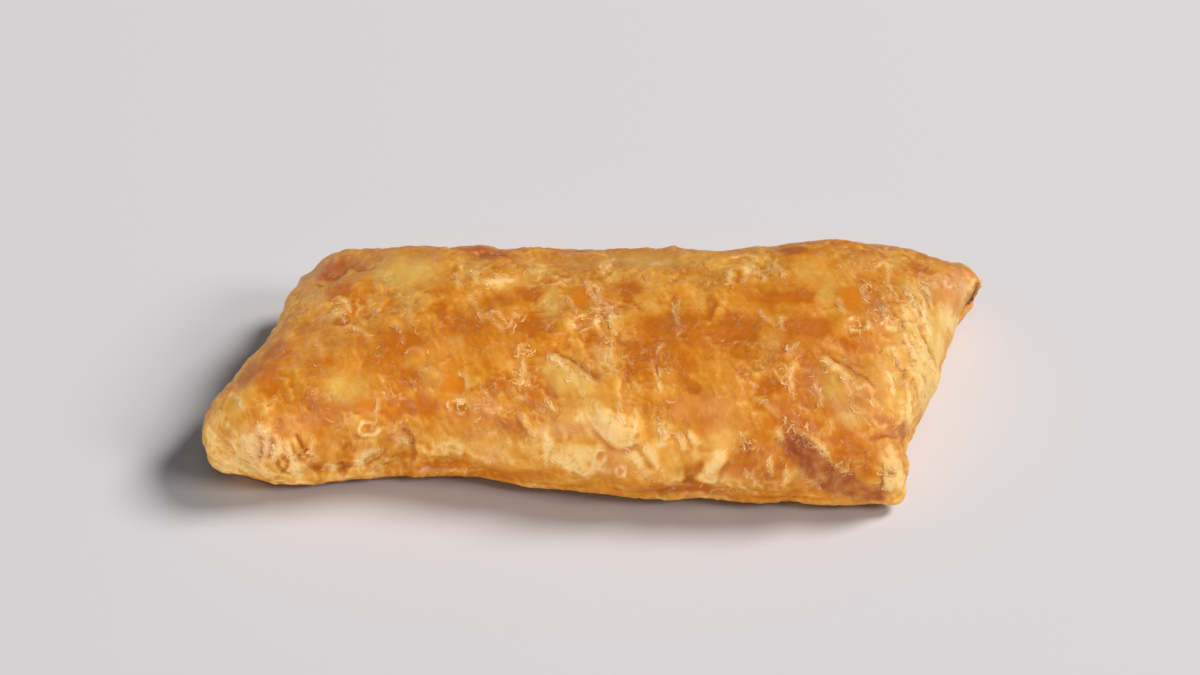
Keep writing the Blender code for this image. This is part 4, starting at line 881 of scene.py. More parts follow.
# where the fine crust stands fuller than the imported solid, or less: (x, y, z), radius and height in mm
swellings = {
    "left side": ((-79, 14, 18), 10, 1.5),
    "left bulge": ((-88, -14, 21), 7, -0.7),
    "left corner": ((-89, -6.5, 20), 6.5, -2.1),
    "nose side": ((-94.5, -28, 6), 4.5, 1.3),
    "nose notch": ((-96, -24, 7), 3.5, 1.2),
    "nose crease": ((-90, -29, 5.5), 5, 0.9),
    "back left corner": ((-69, 34, 21), 8, 1.3),
    "back left edge": ((-58, 33, 24), 8, 0.9),
    "back right hump": ((52, 35, 27), 6, -0.8),
    "right flank": ((84, -8, 14), 8, 1.0),
    "above the knob": ((77, -24, 13), 5, -1.0),
    "knob foot": ((74, -37.5, 4), 5, 1.0),
    "before the knob": ((74, -33, 12), 4.5, -1.6),
    "left foot": ((-86, -36, 6), 7, -1.0),
    "back middle": ((-5, 39, 22), 9, 1.2),
    "knob": ((71.5, -36.5, 9), 6, 1.0),
    "under the tip": ((95.5, 25, 6.5), 6.5, -2.4),
    "flank under the tip": ((90.5, 19, 6.5), 5, 1.5),
    "top of the tip": ((92, 36, 18), 6, -0.7),
    "corner of the tip": ((97, 30, 16), 3.5, 1.3),
    "back right": ((75, 42, 25), 9, 0.7),
}


def laySwellings():
    total = np.zeros(len(points))
    for place, radius, high in swellings.values():
        total += high * bell(place, radius)
    return total


swells = laySwellings()
foldHeight, foldTint, foldCalm = layFolds()
ringHeight, ringTint, ringInside = layRings()
print("folds and rings laid")

# the flaky relief: tilted scales of thin dough, soft puckers and fine wrinkles

relief = {
    "pucker": (9.0, 0.6),        # lump size and height, mm
    "smallPucker": (4.0, 0.24),
    "bigScale": (6.5, 0.07, 0.25),     # cell size, slope, softness of the step between two scales
    "smallScale": (2.6, 0.12, 0.16),
    "wrinkle": (2.6, 0.18),       # spacing and height
    "fineWrinkle": (1.4, 0.07),
    "grain": (0.9, 0.03),
    "down": (1, 1, 2.9),          # stretch of the wrinkles on the flanks, and on top
    "across": (1.9, 1, 1),
    "fineStretch": (1.4, 1, 1.4),
    "flaky": (14.0, 5.0),         # sizes of the flakier areas
    "flakyFade": (-0.35, 0.35),
    "leastBusy": 0.35,            # share of the relief that is left where the crust isn't flaky
    "windowCalms": 0.8,
}
scaleShape = {
    "wander": ((0.7, 0.28), (0.25, 0.07)),   # lump and push of their ragged edges, as shares of the cell
    "lean": (0.35, 0.2, 1.0),
    "turn": 0.9,
    "tilt": (0.3, 1.6),
    "gap": 2.5,                   # width of the torn step, in softnesses
    "step": 0.25,                 # height at which a step counts as torn, as a share of slope times cell
}


def scales(cell, slope, softness, seed):  # cells that each tilt their own way, with a torn step between them
    chance = random.Random(seed)
    spots = points
    for k, (lump, push) in enumerate(scaleShape["wander"]):
        spots = wander(spots, cell * lump, cell * push, seed + 5 * k)
    order = list(range(len(points)))
    chance.shuffle(order)
    taken, seeds = set(), []
    for i in order:
        key = tuple((points[i] // cell).astype(int).tolist())
        if key not in taken:
            taken.add(key)
            seeds.append(i)
    tree = KDTree(len(seeds))
    for k, i in enumerate(seeds):
        tree.insert(points[i], k)
    tree.balance()
    lift, tone = [], []
    for i in seeds:
        up = normals[i]
        side = unit(np.cross(up, scaleShape["lean"]))
        down = np.cross(side, up)
        turn = chance.uniform(-scaleShape["turn"], scaleShape["turn"])
        fall = math.cos(turn) * down + math.sin(turn) * side
        lift.append(fall * slope * chance.uniform(*scaleShape["tilt"]))
        tone.append(chance.uniform(-1, 1))
    lift, tone = np.array(lift), np.array(tone)
    found = [tree.find_n(s, 3) for s in spots.tolist()]
    index = np.array([[f[1] for f in near] for near in found])
    far = np.array([[f[2] for f in near] for near in found])
    weight = np.exp((far[:, :1] - far) / softness)
    weight /= weight.sum(1, keepdims=True)
    offset = points[:, None, :] - points[np.array(seeds)][index]
    each = (offset * lift[index]).sum(2)
    height = (each * weight).sum(1)
    gap = far[:, 1] - far[:, 0]
    edge = np.exp(-((gap / (scaleShape["gap"] * softness)) ** 2))
    edge *= rise(each[:, 0] - each[:, 1], 0.0, scaleShape["step"] * slope * cell)
    return height, (tone[index] * weight).sum(1), edge


def ridged(size, seed, stretch):  # sharp-backed wrinkles
    return (1 - np.abs(mottle(points, size, seed, stretch)) * 2).clip(0, 1) ** 3


bigHeight, bigTone, bigEdge = scales(*relief["bigScale"], 41)
smallHeight, smallTone, smallEdge = scales(*relief["smallScale"], 61)
flaky = rise(twoLumps(*relief["flaky"], 33, 0.35), *relief["flakyFade"])
windowCalm = np.maximum(tones["window"], relief["windowCalms"] * ringInside)
busy = relief["leastBusy"] + (1 - relief["leastBusy"]) * flaky
busy = busy * (1 - relief["windowCalms"] * windowCalm) * (1 - foldCalm)
spacing, wrinkleHigh = relief["wrinkle"]
wrinkles = topness * ridged(spacing, 51, relief["across"])
wrinkles = wrinkles + (1 - topness) * ridged(spacing, 52, relief["down"])
fineWrinkles = ridged(relief["fineWrinkle"][0], 53, relief["fineStretch"])

sideHeight = lumps(hiddenSides["pucker"], 111, (1, 1, 1.5))
sideHeight += hiddenSides["layers"][1] * ridged(hiddenSides["layers"][0], 112, (8, 8, 1)) * (1 - topness)
for level, reach, deep in (hiddenSides["bulge"], hiddenSides["foot"]):
    sideHeight += deep * np.exp(-(((points[:, 2] - level) / reach) ** 2)) * (1 - topness)
height = (
    lumps(relief["pucker"], 31)
    + lumps(relief["smallPucker"], 32) * (1 - 0.7 * windowCalm)
    + bigHeight * busy
    + smallHeight * busy
    + wrinkleHigh * wrinkles * busy
    + relief["fineWrinkle"][1] * fineWrinkles * busy
    + lumps(relief["grain"], 54)
    + foldShare * foldHeight
    + ringHeight
    + swells
    + sideHeight * hidden
)
height *= settle
print("relief worked out:", round(float(height.min()), 2), "to", round(float(height.max()), 2), "mm")

# the foot is drawn in along the front and the end: (x, y, z), reach and how far, mm
pulls = {
    "front foot": ((-8, -31, 1), 12, (0, 1.6, 0)),
    "front foot right": ((24, -36, 1), 12, (0, 1.9, 0)),
    "front foot end": ((42, -38, 1), 9, (0, 1.3, 0)),
    "front foot left": ((-30, -27, 1), 9, (0, 1.4, 0)),
    "nose foot": ((-91, -32, 1), 8, (1.3, 1.8, 0)),
    "knob": ((66, -40, 1), 5, (0, 1.2, 0)),
    "end foot": ((79, -19, 4), 6, (-1.2, 0, 0)),
}
# the underside lay on a tray: shallow dimples where steam lifted it, and its own browning
tray = {
    "touches": (0.02, -0.5),   # it lies lower than the first, mm, and faces down more than the second
    "lifted": (9.0, 3.0),      # sizes of the spots that steam lifted off the tray
    "liftedFade": (-0.05, 0.7),
    "liftedHigh": 0.35,
    "grain": (2.8, 0.1),       # size and depth of the print of the tray
    "bake": 0.74,
    "lump": (7.0, 0.32),
    "smallLump": (2.8, 0.30),
    "liftedLightens": 0.55,
    "rimDarkens": 0.22,        # round the lifted spots
    "russet": (15.0, 4.0),     # sizes of the darker spots, and their strength
    "russetShare": 0.55,
    "straw": 0.35,
    "dull": 0.25,              # share of the plain underside tone over all this
}
under = (points[:, 2] < tray["touches"][0]) & (normals[:, 2] < tray["touches"][1])
lifted = rise(twoLumps(*tray["lifted"], 71), *tray["liftedFade"])
trayPrint = lumps(tray["grain"], 73)
moved = points + normals * height[:, None]
for place, radius, step in pulls.values():
    moved += np.outer(bell(place, radius), step)
moved[:, 2] = np.maximum(moved[:, 2], 0)
moved[under, 2] = np.maximum(tray["liftedHigh"] * lifted + trayPrint, 0)[under]

# what the shader reads at each point of the crust

colour = {
    "base": 0.32,            # 0 is pale dough, 1 is deep amber
    "topDarkens": 0.23,
    "amberDarkens": 1.05,
    "creamLightens": 0.80,
    "lump": (11.0, 0.10),    # soft patches of browning: size and share
    "smallLump": (3.5, 0.12),
    "streak": (0.9, 0.22),   # its lines run down the slope, leaning to the right
    "streakStretch": (1, 4, 4),
    "streakLeans": 0.35,
    "creamStreaks": (0.85, 0.9),   # the least of the cream tone, and the share that the streaks take
    "scaleTone": 0.05,
    "smallScaleTone": 0.08,
    # paler thin dough and painted highlight on the raised edges of scales, folds and rings
    "paleLitEdgeShare": 0.20,
    "edgeFrom": {"scale": 0.4, "fold": 0.8, "ring": 0.75},
    "edgeGaps": (3.2, 0.0, 0.4),   # so that the paler, painted-highlight edges come as short lengths
    "rimPaleAndLit": 0.25,     # the rims of the burst blisters: paler thin dough and painted highlight
    # painted shade: the crust's tone is made darker in the creases of its relief and lighter on its ridges
    "creaseShade": 0.16,
    "hollowDeep": 0.15,      # mm at which a crease takes that much painted shade
    "hollowRounds": 12,      # how widely the crust is smoothed to find its creases
}
# how noise breaks a tone up: its least, share and size of the lumps, their seed, share of the streaks
toneGrain = {
    "straw": (1.15, 0.6, 4.0, 83, 0.9),
    "blush": (0.8, 0.5, 3.0, 84, 0),
    "russet": (0.85, 0.5, 2.5, 85, 0),
    "window": (1.0, 0.3, 3.0, 88, 0),
}


def smoothOver(mesh, values, rounds):  # each round averages a value with that of the points joined to it
    ends = np.zeros(len(mesh.edges) * 2, int)
    mesh.edges.foreach_get("vertices", ends)
    a, b = ends.reshape(-1, 2).T
    count = np.bincount(ends, minlength=len(values)).astype(float)
    for _ in range(rounds):
        total = np.bincount(a, values[b], len(values)) + np.bincount(b, values[a], len(values))
        values = 0.5 * values + 0.5 * total / count
    return values


def grained(name, tone):
    least, share, size, seed, streaks = toneGrain[name]
    return np.clip(tone * (least + share * mottle(points, size, seed) + streaks * streak), 0, 1)


# above 0 in creases, below 0 on ridges
hollow = smoothOver(crustMesh, height, colour["hollowRounds"]) - height
leaning = points + np.outer(colour["streakLeans"] * (points[:, 1] + points[:, 2]), (1, 0, 0))
streak = mottle(wander(leaning, 2.0, 0.4, 95), colour["streak"][0], 86, colour["streakStretch"])
brokenUp = rise(mottle(points, colour["edgeGaps"][0], 87), *colour["edgeGaps"][1:])
edgeFrom = colour["edgeFrom"]
# the raised edges: paler thin dough with a painted highlight
litPaleEdges = (edgeFrom["scale"] * bigEdge + edgeFrom["scale"] * smallEdge) * busy * brokenUp
litPaleEdges = np.clip(litPaleEdges + edgeFrom["fold"] * foldTint["cream"] + edgeFrom["ring"] * ringTint, 0, 1.3)
leastCream, creamStreaks = colour["creamStreaks"]
bake = (
    colour["base"]
    + colour["topDarkens"] * topness
    + colour["amberDarkens"] * np.maximum(tones["amber"], foldTint["amber"])
    - colour["creamLightens"] * tones["cream"] * (leastCream + creamStreaks * streak)
    + lumps(colour["lump"], 81)
    + lumps(colour["smallLump"], 82)
    + colour["streak"][1] * streak
    + colour["scaleTone"] * bigTone * busy
    + colour["smallScaleTone"] * smallTone * busy
    - colour["paleLitEdgeShare"] * litPaleEdges
    # paler dough and painted highlight on the blister rims
    - colour["rimPaleAndLit"] * ringTint
    # painted shade: darker in the creases of the relief, lighter on its ridges
    + colour["creaseShade"] * np.clip(hollow / colour["hollowDeep"], -1, 2)
)
looks = {
    "bake": np.clip(bake, 0, 1.2),
    "straw": grained("straw", tones["straw"]),
    "blush": grained("blush", np.maximum(tones["blush"], foldTint["blush"])),
    "russet": grained("russet", np.maximum(tones["russet"], foldTint["russet"])),
    "window": grained("window", tones["window"]),
    "scorch": np.clip(tones["scorch"], 0, 1),
    "flaky": np.clip(0.25 + 0.75 * busy * (1 - 0.6 * tones["amber"]), 0, 1) * (1 - windowCalm),
    # paler dough and painted highlight on raised edges
    "paleLitEdge": np.clip(litPaleEdges, 0, 1),
    "underside": rise(-normals[:, 2], 0.2, 0.9) * (1 - rise(points[:, 2], 0.5, 3.0)),
}
trayBake = (
    tray["bake"]
    + lumps(tray["lump"], 121)
    + lumps(tray["smallLump"], 122)
    - tray["liftedLightens"] * lifted
    + tray["rimDarkens"] * 4 * lifted * (1 - lifted)
)
trayRusset = rise(twoLumps(*tray["russet"], 123), 0.0, 0.5) * (1 - lifted)
for name, values in (("bake", np.clip(trayBake, 0.05, 1.2)), ("russet", tray["russetShare"] * trayRusset),
                     ("straw", tray["straw"] * lifted)):
    looks[name] = looks[name] * (1 - looks["underside"]) + values * looks["underside"]
looks["underside"] = tray["dull"] * looks["underside"]


def setValues(mesh, values):
    for name, numbers in values.items():
        attribute = mesh.attributes.new(name, "FLOAT", "POINT")
        attribute.data.foreach_set("value", numbers.astype(np.float32))


crustMesh.vertices.foreach_set("co", (moved * mm).astype(np.float32).ravel())
crustMesh.shade_smooth()
crustMesh.update()
setValues(crustMesh, looks)
crust = bpy.data.objects.new("bakedCrust", crustMesh)
bpy.context.scene.collection.objects.link(crust)
print("crust made")

# loose flakes and crumbs: thin torn leaves of dough, each stuck down on one side and curled up on the other

flakes = {
    "leafWide": (0.8, 1.7),    # the torn edges along the named ridges
    "leafLift": (0.06, 0.24),
    "leafLong": (1.4, 4.8),
    "leafGap": (-0.3, 1.8),
    "leafAstray": 0.35,
    "leafFrom": 0.38,          # ridges whose tint is weaker have none
    "leafStep": 0.35,
    "leafTear": (0.3, 1.0),
    "leafPaler": (0.6, 1.7),   # spread of how pale it is, as shares of "paler"
    "spacing": 3.0,            # mm between the flakes along a named ridge
    "scattered": 180,          # the rest lie all over, more of them where the crust is flaky
    "long": (1.0, 3.4),
    "wide": (0.5, 1.5),
    "thick": 0.1,
    "rootThick": 0.6,          # share of that thickness at the root
    "lift": (0.05, 0.24),      # how far the free side curls up
    "cells": (5, 2),
    "tear": (0.45, 1.0),
    "sway": 0.5,
    "stray": 0.9,              # how far a flake is off its place, mm, and off its direction
    "short": 0.8,              # share of the greatest length that a flake away from the ridges has
    "paler": 0.45,             # how far its tone goes towards pale dough
    "pink": (0, 0.3, 0.8),
    "paintedShadeBelow": 0.25,        # painted shade: how much darker the hidden underside of a flake is made
    "crumbSize": (0.12, 0.3),
    "crumbTones": (0.05, 0.1, 0.2, 0.7),
}
# where flakes and crumbs gather: (x, y, z), radius, flakes, crumbs
clusters = {
    "right of the first window": (0, -2.5, 33.5, 4, 16, 9),
    "first ring": (-4, -7.5, 33.5, 2.6, 10, 6),
    "right of the second window": (68.5, 1, 30.5, 4, 16, 9),
    "second ring": (62.5, -4.5, 30.5, 2.6, 10, 6),
    "middle strip high": (-19, -14, 31, 2.4, 8, 4),
    "middle strip low": (-19.5, -21, 29, 3, 10, 5),
    "right strip": (45.5, -22, 30.5, 3.4, 10, 5),
    "first split": (-11, -17.5, 31, 2.2, 6, 2),
    "second split": (55, -18, 30, 2.2, 6, 2),
    "third ring": (-34, -25, 25, 2.6, 7, 4),
    "fourth ring": (-56, -29, 21.5, 2.4, 6, 3),
    "back left wisps": (-28, 12, 33.5, 5, 10, 4),
    "back middle wisps": (-18, 15, 32, 3.4, 6, 2),
    "back right wisps": (38.5, 14.5, 31.5, 5, 10, 3),
    "pale back wisp": (1, 15.5, 32, 2.4, 5, 2),
    "left wrinkles": (-83.5, -32.5, 17.5, 5, 12, 5),
    "left of the notch": (-73.5, -33, 13.5, 4, 8, 2),
    "gritty spot": (34, -36.5, 23, 2.6, 5, 22),
    "pale lump": (73, -2.5, 29, 2, 5, 3),
    "knob": (68.5, -38, 13.5, 3.4, 8, 3),
    "blister": (-64.5, 2, 31, 3, 16, 8),
    "notch": (-48, -28.5, 15, 2.4, 5, 2),
    "lobe edge": (2.5, -34.5, 23.5, 3.6, 7, 2),
    "lobe right": (15.5, -36, 23, 3.6, 7, 2),
    "end wisps high": (67.5, 12, 30, 3.6, 9, 2),
    "end wisps middle": (79, -1, 26.5, 4, 8, 2),
    "end wisps low": (73.5, -11.5, 26, 4, 8, 2),
    "below the first blush": (-28, -26.5, 25.5, 3.6, 7, 2),
    "front left of the lobe": (-11, -34.5, 14, 4, 6, 2),
    "gritty ridge 1": (45, -34, 26, 1.6, 2, 13),
    "gritty ridge 2": (47.5, -35, 24, 1.7, 2, 17),
    "gritty ridge 3": (50.5, -37, 22.5, 1.8, 2, 20),
    "gritty ridge 4": (53, -38, 20, 1.8, 2, 20),
    "gritty ridge 5": (56, -38.5, 16.5, 1.7, 2, 17),
    "gritty ridge 6": (59, -37.5, 13, 1.6, 2, 11),
}
chance = random.Random(907)
movedTree = treeOver(moved)
faceCorner = [f.vertices[0] for f in crustMesh.polygons]


def strayed():  # a random step in each direction
    return [chance.uniform(-flakes["stray"], flakes["stray"]) for _ in range(3)]


def walkedAlong(line):  # how far along it each of a line's points lies
    return np.concatenate([[0], np.cumsum(np.linalg.norm(np.diff(line, axis=0), axis=1))])


def pointsAlong(line, places):
    walked = walkedAlong(line)
    return np.stack([np.interp(places, walked, line[:, k]) for k in range(3)], 1)


def newPile():
    return {"verts": [], "faces": [], "flat": [], "looks": {name: [] for name in looks}}


def addSheet(pile, spots, highs, paler, burnt=0.0):  # a leaf of dough over a grid of spots, root row first
    rows, across = len(spots) - 1, len(spots[0])
    home = faceCorner[movedTree.find_nearest(spots[0][across // 2])[2]]
    shade = {name: float(looks[name][home]) for name in looks}
    pink = chance.choice(flakes["pink"])
    start = len(pile["verts"])
    for layer in (0, 1):
        for row in range(rows + 1):
            t = row / rows
            for col in range(across):
                foot, normal, _, _ = movedTree.find_nearest(spots[row][col])
                thick = layer * flakes["thick"] * (flakes["rootThick"] + (1 - flakes["rootThick"]) * t)
                pile["verts"].append(foot + normal * (highs[row][col] - thick))
                for name in looks:
                    value = shade[name]
                    if name == "bake":
                        # painted shade on the flake's underside
                        value = value * (1 - paler * t) + layer * flakes["paintedShadeBelow"]
                    if name in ("russet", "window", "straw"):
                        value *= 1 - 0.8 * paler * t
                    if name == "blush":
                        value = min(value + pink * t, 1)
                    # a flake's free side is paler thin dough with a painted highlight; its underside has none
                    if name == "paleLitEdge":
                        value = min(value + 0.6 * t, 1) * (1 - layer)
                    if name == "scorch":
                        value = min(value + burnt * (0.4 + 0.6 * t), 1)
                    pile["looks"][name].append(value)
    count = across * (rows + 1)
    for row in range(rows):
        for col in range(across - 1):
            a = start + row * across + col
            pile["faces"] += [(a, a + across, a + across + 1, a + 1),
                              (a + count, a + count + 1, a + count + across + 1, a + count + across)]
            pile["flat"] += [False, False]
    last = across - 1
    rim = [start + k for k in range(last)]
    rim += [start + last + k * across for k in range(rows)]
    rim += [start + count - 1 - k for k in range(last)]
    rim += [start + (rows - k) * across for k in range(rows)]
    for a, b in zip(rim, rim[1:] + rim[:1]):
        pile["faces"].append((a, b, b + count, a + count))
        pile["flat"].append(True)


def addFlake(pile, centre, turn, long, wide, lift, paler, clear=0.0, burnt=0.0):
    found, up, _, _ = movedTree.find_nearest(Vector(centre))
    side = (Vector(turn) - up * up.dot(Vector(turn))).normalized()   # towards the free side
    along = up.cross(side)
    cols, rows = flakes["cells"]
    tear = [chance.uniform(*flakes["tear"]) for _ in range(cols + 1)]
    sway = chance.uniform(-flakes["sway"], flakes["sway"])
    ends = [2 * col / cols - 1 for col in range(cols + 1)]
    spots, highs = [], []
    for row in range(rows + 1):
        t = row / rows
        spots.append([
            found + up * clear + along * (u * long / 2 + sway * t * wide)
            + side * (t * wide * tear[col] * (1 - 0.75 * u * u) - 0.3 * wide) for col, u in enumerate(ends)])
        highs.append([clear - 0.06 + 0.06 * t + lift * t * t * (1 - 0.5 * u * u) for u in ends])
    addSheet(pile, spots, highs, paler, burnt)


def addLeaf(pile, line, wide, lift, paler):  # the torn edge of a sheet, standing up along a path
    length = walkedAlong(line)[-1]
    cols = max(4, int(length / flakes["leafStep"]))
    path = pointsAlong(line, np.linspace(0, length, cols + 1))
    ahead = unit(np.gradient(path, axis=0))
    tear = [chance.uniform(*flakes["leafTear"]) for _ in path]
    spots, highs = [[], [], []], [[], [], []]
    for k, place in enumerate(path):
        up = movedTree.find_nearest(Vector(place))[1]
        side = Vector(ahead[k]).cross(up).normalized()
        taper = math.sin(math.pi * (0.06 + 0.88 * k / cols)) ** 0.6
        for row, t in enumerate((0, 0.5, 1)):
            reach = wide * (t * taper * tear[k] - 0.45)
            spots[row].append(Vector(place) + side * reach)
            highs[row].append(-0.08 + 0.08 * t + lift * t * t * taper * tear[k])
    addSheet(pile, spots, highs, paler)


def flakeAlongRidges(pile):
    for fold in folds.values():
        if fold["high"] <= 0 or fold["tone"] != "cream":
            continue
        for path in fold["paths"]:
            line = curvePath(path)
            lengths = np.linalg.norm(np.diff(line, axis=0), axis=1)
            whole = walkedAlong(line)[-1]
            start = chance.uniform(0, 1.0) if fold["amount"] > flakes["leafFrom"] else whole
            while start < whole - 0.8:
                end = min(start + chance.uniform(*flakes["leafLong"]), whole)
                piece = pointsAlong(line, np.linspace(start, end, 5))
                swung, jog = ([chance.gauss(0, flakes["leafAstray"]) for _ in range(3)] for _ in range(2))
                stray = np.outer(np.linspace(-1, 1, 5), swung)
                addLeaf(pile, piece + stray + jog, chance.uniform(*flakes["leafWide"]),
                        chance.uniform(*flakes["leafLift"]),
                        min(1, flakes["paler"] * chance.uniform(*flakes["leafPaler"])))
                start = end + chance.uniform(*flakes["leafGap"])
            walked = chance.uniform(0, flakes["spacing"])
            for a, b, length in zip(line[:-1], line[1:], lengths):
                while walked < length:
                    spot = a + (b - a) * walked / length + strayed()
                    up = np.array(crustTree.find_nearest(Vector(spot))[1])
                    right = np.cross(b - a, up) / length
                    swing = strayed()
                    long, wide = chance.uniform(*flakes["long"]), chance.uniform(*flakes["wide"])
                    addFlake(pile, spot, right + swing, long, min(wide, 0.7 * long),
                             chance.uniform(*flakes["lift"]),
                             min(1, flakes["paler"] * chance.uniform(0.5, 1.6)))
                    walked += flakes["spacing"] * chance.uniform(0.3, 2.2)
                walked -= length


def leafHiddenSides(pile):
    likely = hidden * (1 - topness) * (points[:, 2] > 3)
    for i in chance.choices(range(len(points)), weights=likely.tolist(), k=hiddenSides["leaves"]):
        along = unit(np.cross(normals[i], (0, 0, 1.0))) + [0, 0, chance.uniform(-0.5, 0.5)]
        steps = np.linspace(-0.5, 0.5, 5)[:, None] * chance.uniform(2.5, 8)
        addLeaf(pile, curvePath(moved[i] + steps * along), chance.uniform(*flakes["leafWide"]),
                chance.uniform(*flakes["leafLift"]), flakes["paler"] * chance.uniform(0.5, 1.5))


def scatterFlakes(pile):
    likely = busy * rise(mottle(points, 9.0, 93), 0, 0.5) + 0.02
    likely = likely * (1 - 0.9 * tones["amber"]) * (points[:, 2] > 2)
    picks = chance.choices(range(len(points)), weights=likely.tolist(), k=flakes["scattered"])
    for i in picks:
        down = np.array((0, 0, -1.0)) + normals[i] * normals[i][2]
        turn = unit(down) + strayed()
        long = chance.uniform(flakes["long"][0], flakes["short"] * flakes["long"][1])
        addFlake(pile, moved[i], turn, long, min(chance.uniform(*flakes["wide"]), 0.6 * long),
                 chance.uniform(*flakes["lift"]) * 0.6, flakes["paler"] * chance.uniform(0, 0.8))


def addCrumb(pile, centre, size, tone):  # a small lump of eight uneven corners, half sunk
    found, up, face, _ = movedTree.find_nearest(Vector(centre))
    home = faceCorner[face]
    start = len(pile["verts"])
    ball = bmesh.new()
    bmesh.ops.create_icosphere(ball, subdivisions=1, radius=size)
    squash = Vector((chance.uniform(0.6, 1.3), chance.uniform(0.6, 1.3), chance.uniform(0.5, 0.9)))
    for v in ball.verts:
        pile["verts"].append(found + up * size * 0.35 + v.co * squash * chance.uniform(0.8, 1.15))
        for name in looks:
            value = float(looks[name][home])
            if name == "bake":
                value = tone
            # the paler a crumb, the more pale edge colour and painted highlight it takes
            if name == "paleLitEdge":
                value = max(0, 0.7 - tone)
            pile["looks"][name].append(value)
    for f in ball.faces:
        pile["faces"].append(tuple(start + v.index for v in f.verts))
        pile["flat"].append(False)
    ball.free()


tipLayers = {   # burnt leaves of dough at the torn end of the tip
    "from": (94.9, 25.0, 10.8),
    "to": (96.8, 28.8, 15.4),
    "outward": (0.6, -0.6, 0.2),
    "count": 12,
    "long": (1.8, 3.4),
    "wide": (0.8, 1.5),
    "lift": (0.15, 0.55),
    "burnt": (0.1, 0.5, 0.9),
}


def layTip(pile):
    low, high = Vector(tipLayers["from"]), Vector(tipLayers["to"])
    for k in range(tipLayers["count"]):
        share = (k + chance.uniform(-0.3, 0.3)) / (tipLayers["count"] - 1)
        turn = Vector(tipLayers["outward"]) + Vector([chance.uniform(-0.35, 0.35) for _ in range(3)])
        addFlake(pile, low.lerp(high, share), turn, chance.uniform(*tipLayers["long"]),
                 chance.uniform(*tipLayers["wide"]), chance.uniform(*tipLayers["lift"]), 0.1,
                 0.3 * (k % 3), chance.choice(tipLayers["burnt"]))


def gatherClusters(pile):
    for x, y, z, radius, leaves, crumbs in clusters.values():
        for kind in ["flake"] * leaves + ["crumb"] * crumbs:
            spot = [middle + chance.gauss(0, radius / 2) for middle in (x, y, z)]
            if kind == "crumb":
                addCrumb(pile, spot, chance.uniform(*flakes["crumbSize"]),
                         chance.choice(flakes["crumbTones"]))
                continue
            turn = [chance.uniform(-1, 1), chance.uniform(-1.4, 0.6), chance.uniform(-1, 0.4)]
            long = chance.uniform(flakes["long"][0], flakes["short"] * flakes["long"][1])
            addFlake(pile, spot, turn, long, chance.uniform(0.3, 0.65) * long,
                     chance.uniform(*flakes["lift"]), min(1, flakes["paler"] * chance.uniform(0.7, 2.0)))


def pileMesh(name, pile):
    mesh = bpy.data.meshes.new(name)
    mesh.from_pydata([tuple(v * mm) for v in pile["verts"]], [], pile["faces"])
    mesh.shade_smooth()
    mesh.polygons.foreach_set("use_smooth", [not flat for flat in pile["flat"]])
    setValues(mesh, {title: np.array(numbers) for title, numbers in pile["looks"].items()})
    piece = bpy.data.objects.new(name, mesh)
    bpy.context.scene.collection.objects.link(piece)
    print(name + ":", sum(len(f) - 2 for f in pile["faces"]), "triangles")
    return piece


flakePile = newPile()
flakeAlongRidges(flakePile)
gatherClusters(flakePile)
leafHiddenSides(flakePile)
scatterFlakes(flakePile)
looseFlakes = pileMesh("looseFlakes", flakePile)
tipPile = newPile()
layTip(tipPile)
scorchedTip = pileMesh("scorchedTip", tipPile)

# shader groups used by more than one material

palette = {   # sRGB values, 0 to 255
    "dough": (244, 200, 124),
    "gold": (230, 166, 72),
    "golden": (214, 138, 38),
    "amber": (200, 116, 10),
    "deepAmber": (188, 100, 4),
    "straw": (222, 178, 86),
    "blush": (218, 146, 98),
    "russet": (160, 74, 28),
    "window": (212, 120, 8),
    # pale thin dough with a painted highlight, for raised edges and flecks
    "edge": (254, 212, 156),
    "underside": (176, 112, 52),
    "scorch": (150, 70, 40),
}


def linear(colour255):  # sRGB to the values that a shader takes
    rgb = [c / 255 for c in colour255]
    return [*[c / 12.92 if c < 0.04045 else ((c + 0.055) / 1.055) ** 2.4 for c in rgb], 1]


def paint(name):
    return linear(palette[name])


def feed(tree, socket, value):  # joins a socket to another one, or gives it a plain value
    if isinstance(value, bpy.types.NodeSocket):
        tree.links.new(value, socket)
    else:
        socket.default_value = value


def newGroup(name, inputs, outputs):
    group = bpy.data.node_groups.new(name, "ShaderNodeTree")
    for side, sockets in (("INPUT", inputs), ("OUTPUT", outputs)):
        for title, kind, value in sockets:
            socket = group.interface.new_socket(title, in_out=side, socket_type=kind)
            if side == "INPUT":
                socket.default_value = value
    return group, group.nodes.new("NodeGroupInput"), group.nodes.new("NodeGroupOutput")


def addMix(tree, share, a, b):  # a colour mix whose inputs are sockets or plain values
    node = tree.nodes.new("ShaderNodeMix")
    node.data_type = "RGBA"
    for socket, value in ((node.inputs[0], share), (node.inputs[6], a), (node.inputs[7], b)):
        feed(tree, socket, value)
    return node.outputs[2]


def addMath(tree, operation, a, b, clamp=False):
    node = tree.nodes.new("ShaderNodeMath")
    node.operation = operation
    node.use_clamp = clamp
    feed(tree, node.inputs[0], a)
    feed(tree, node.inputs[1], b)
    return node.outputs[0]


number = "NodeSocketFloat"
bakeStops = [(0.0, "dough"), (0.25, "gold"), (0.5, "golden"), (0.75, "amber"), (1.0, "deepAmber")]
# Edge mixes in the pale edge colour, which carries a painted highlight
toneShares = {"Straw": 0.85, "Blush": 0.7, "Window": 0.95, "Russet": 0.95, "Scorch": 0.9, "Edge": 0.6}


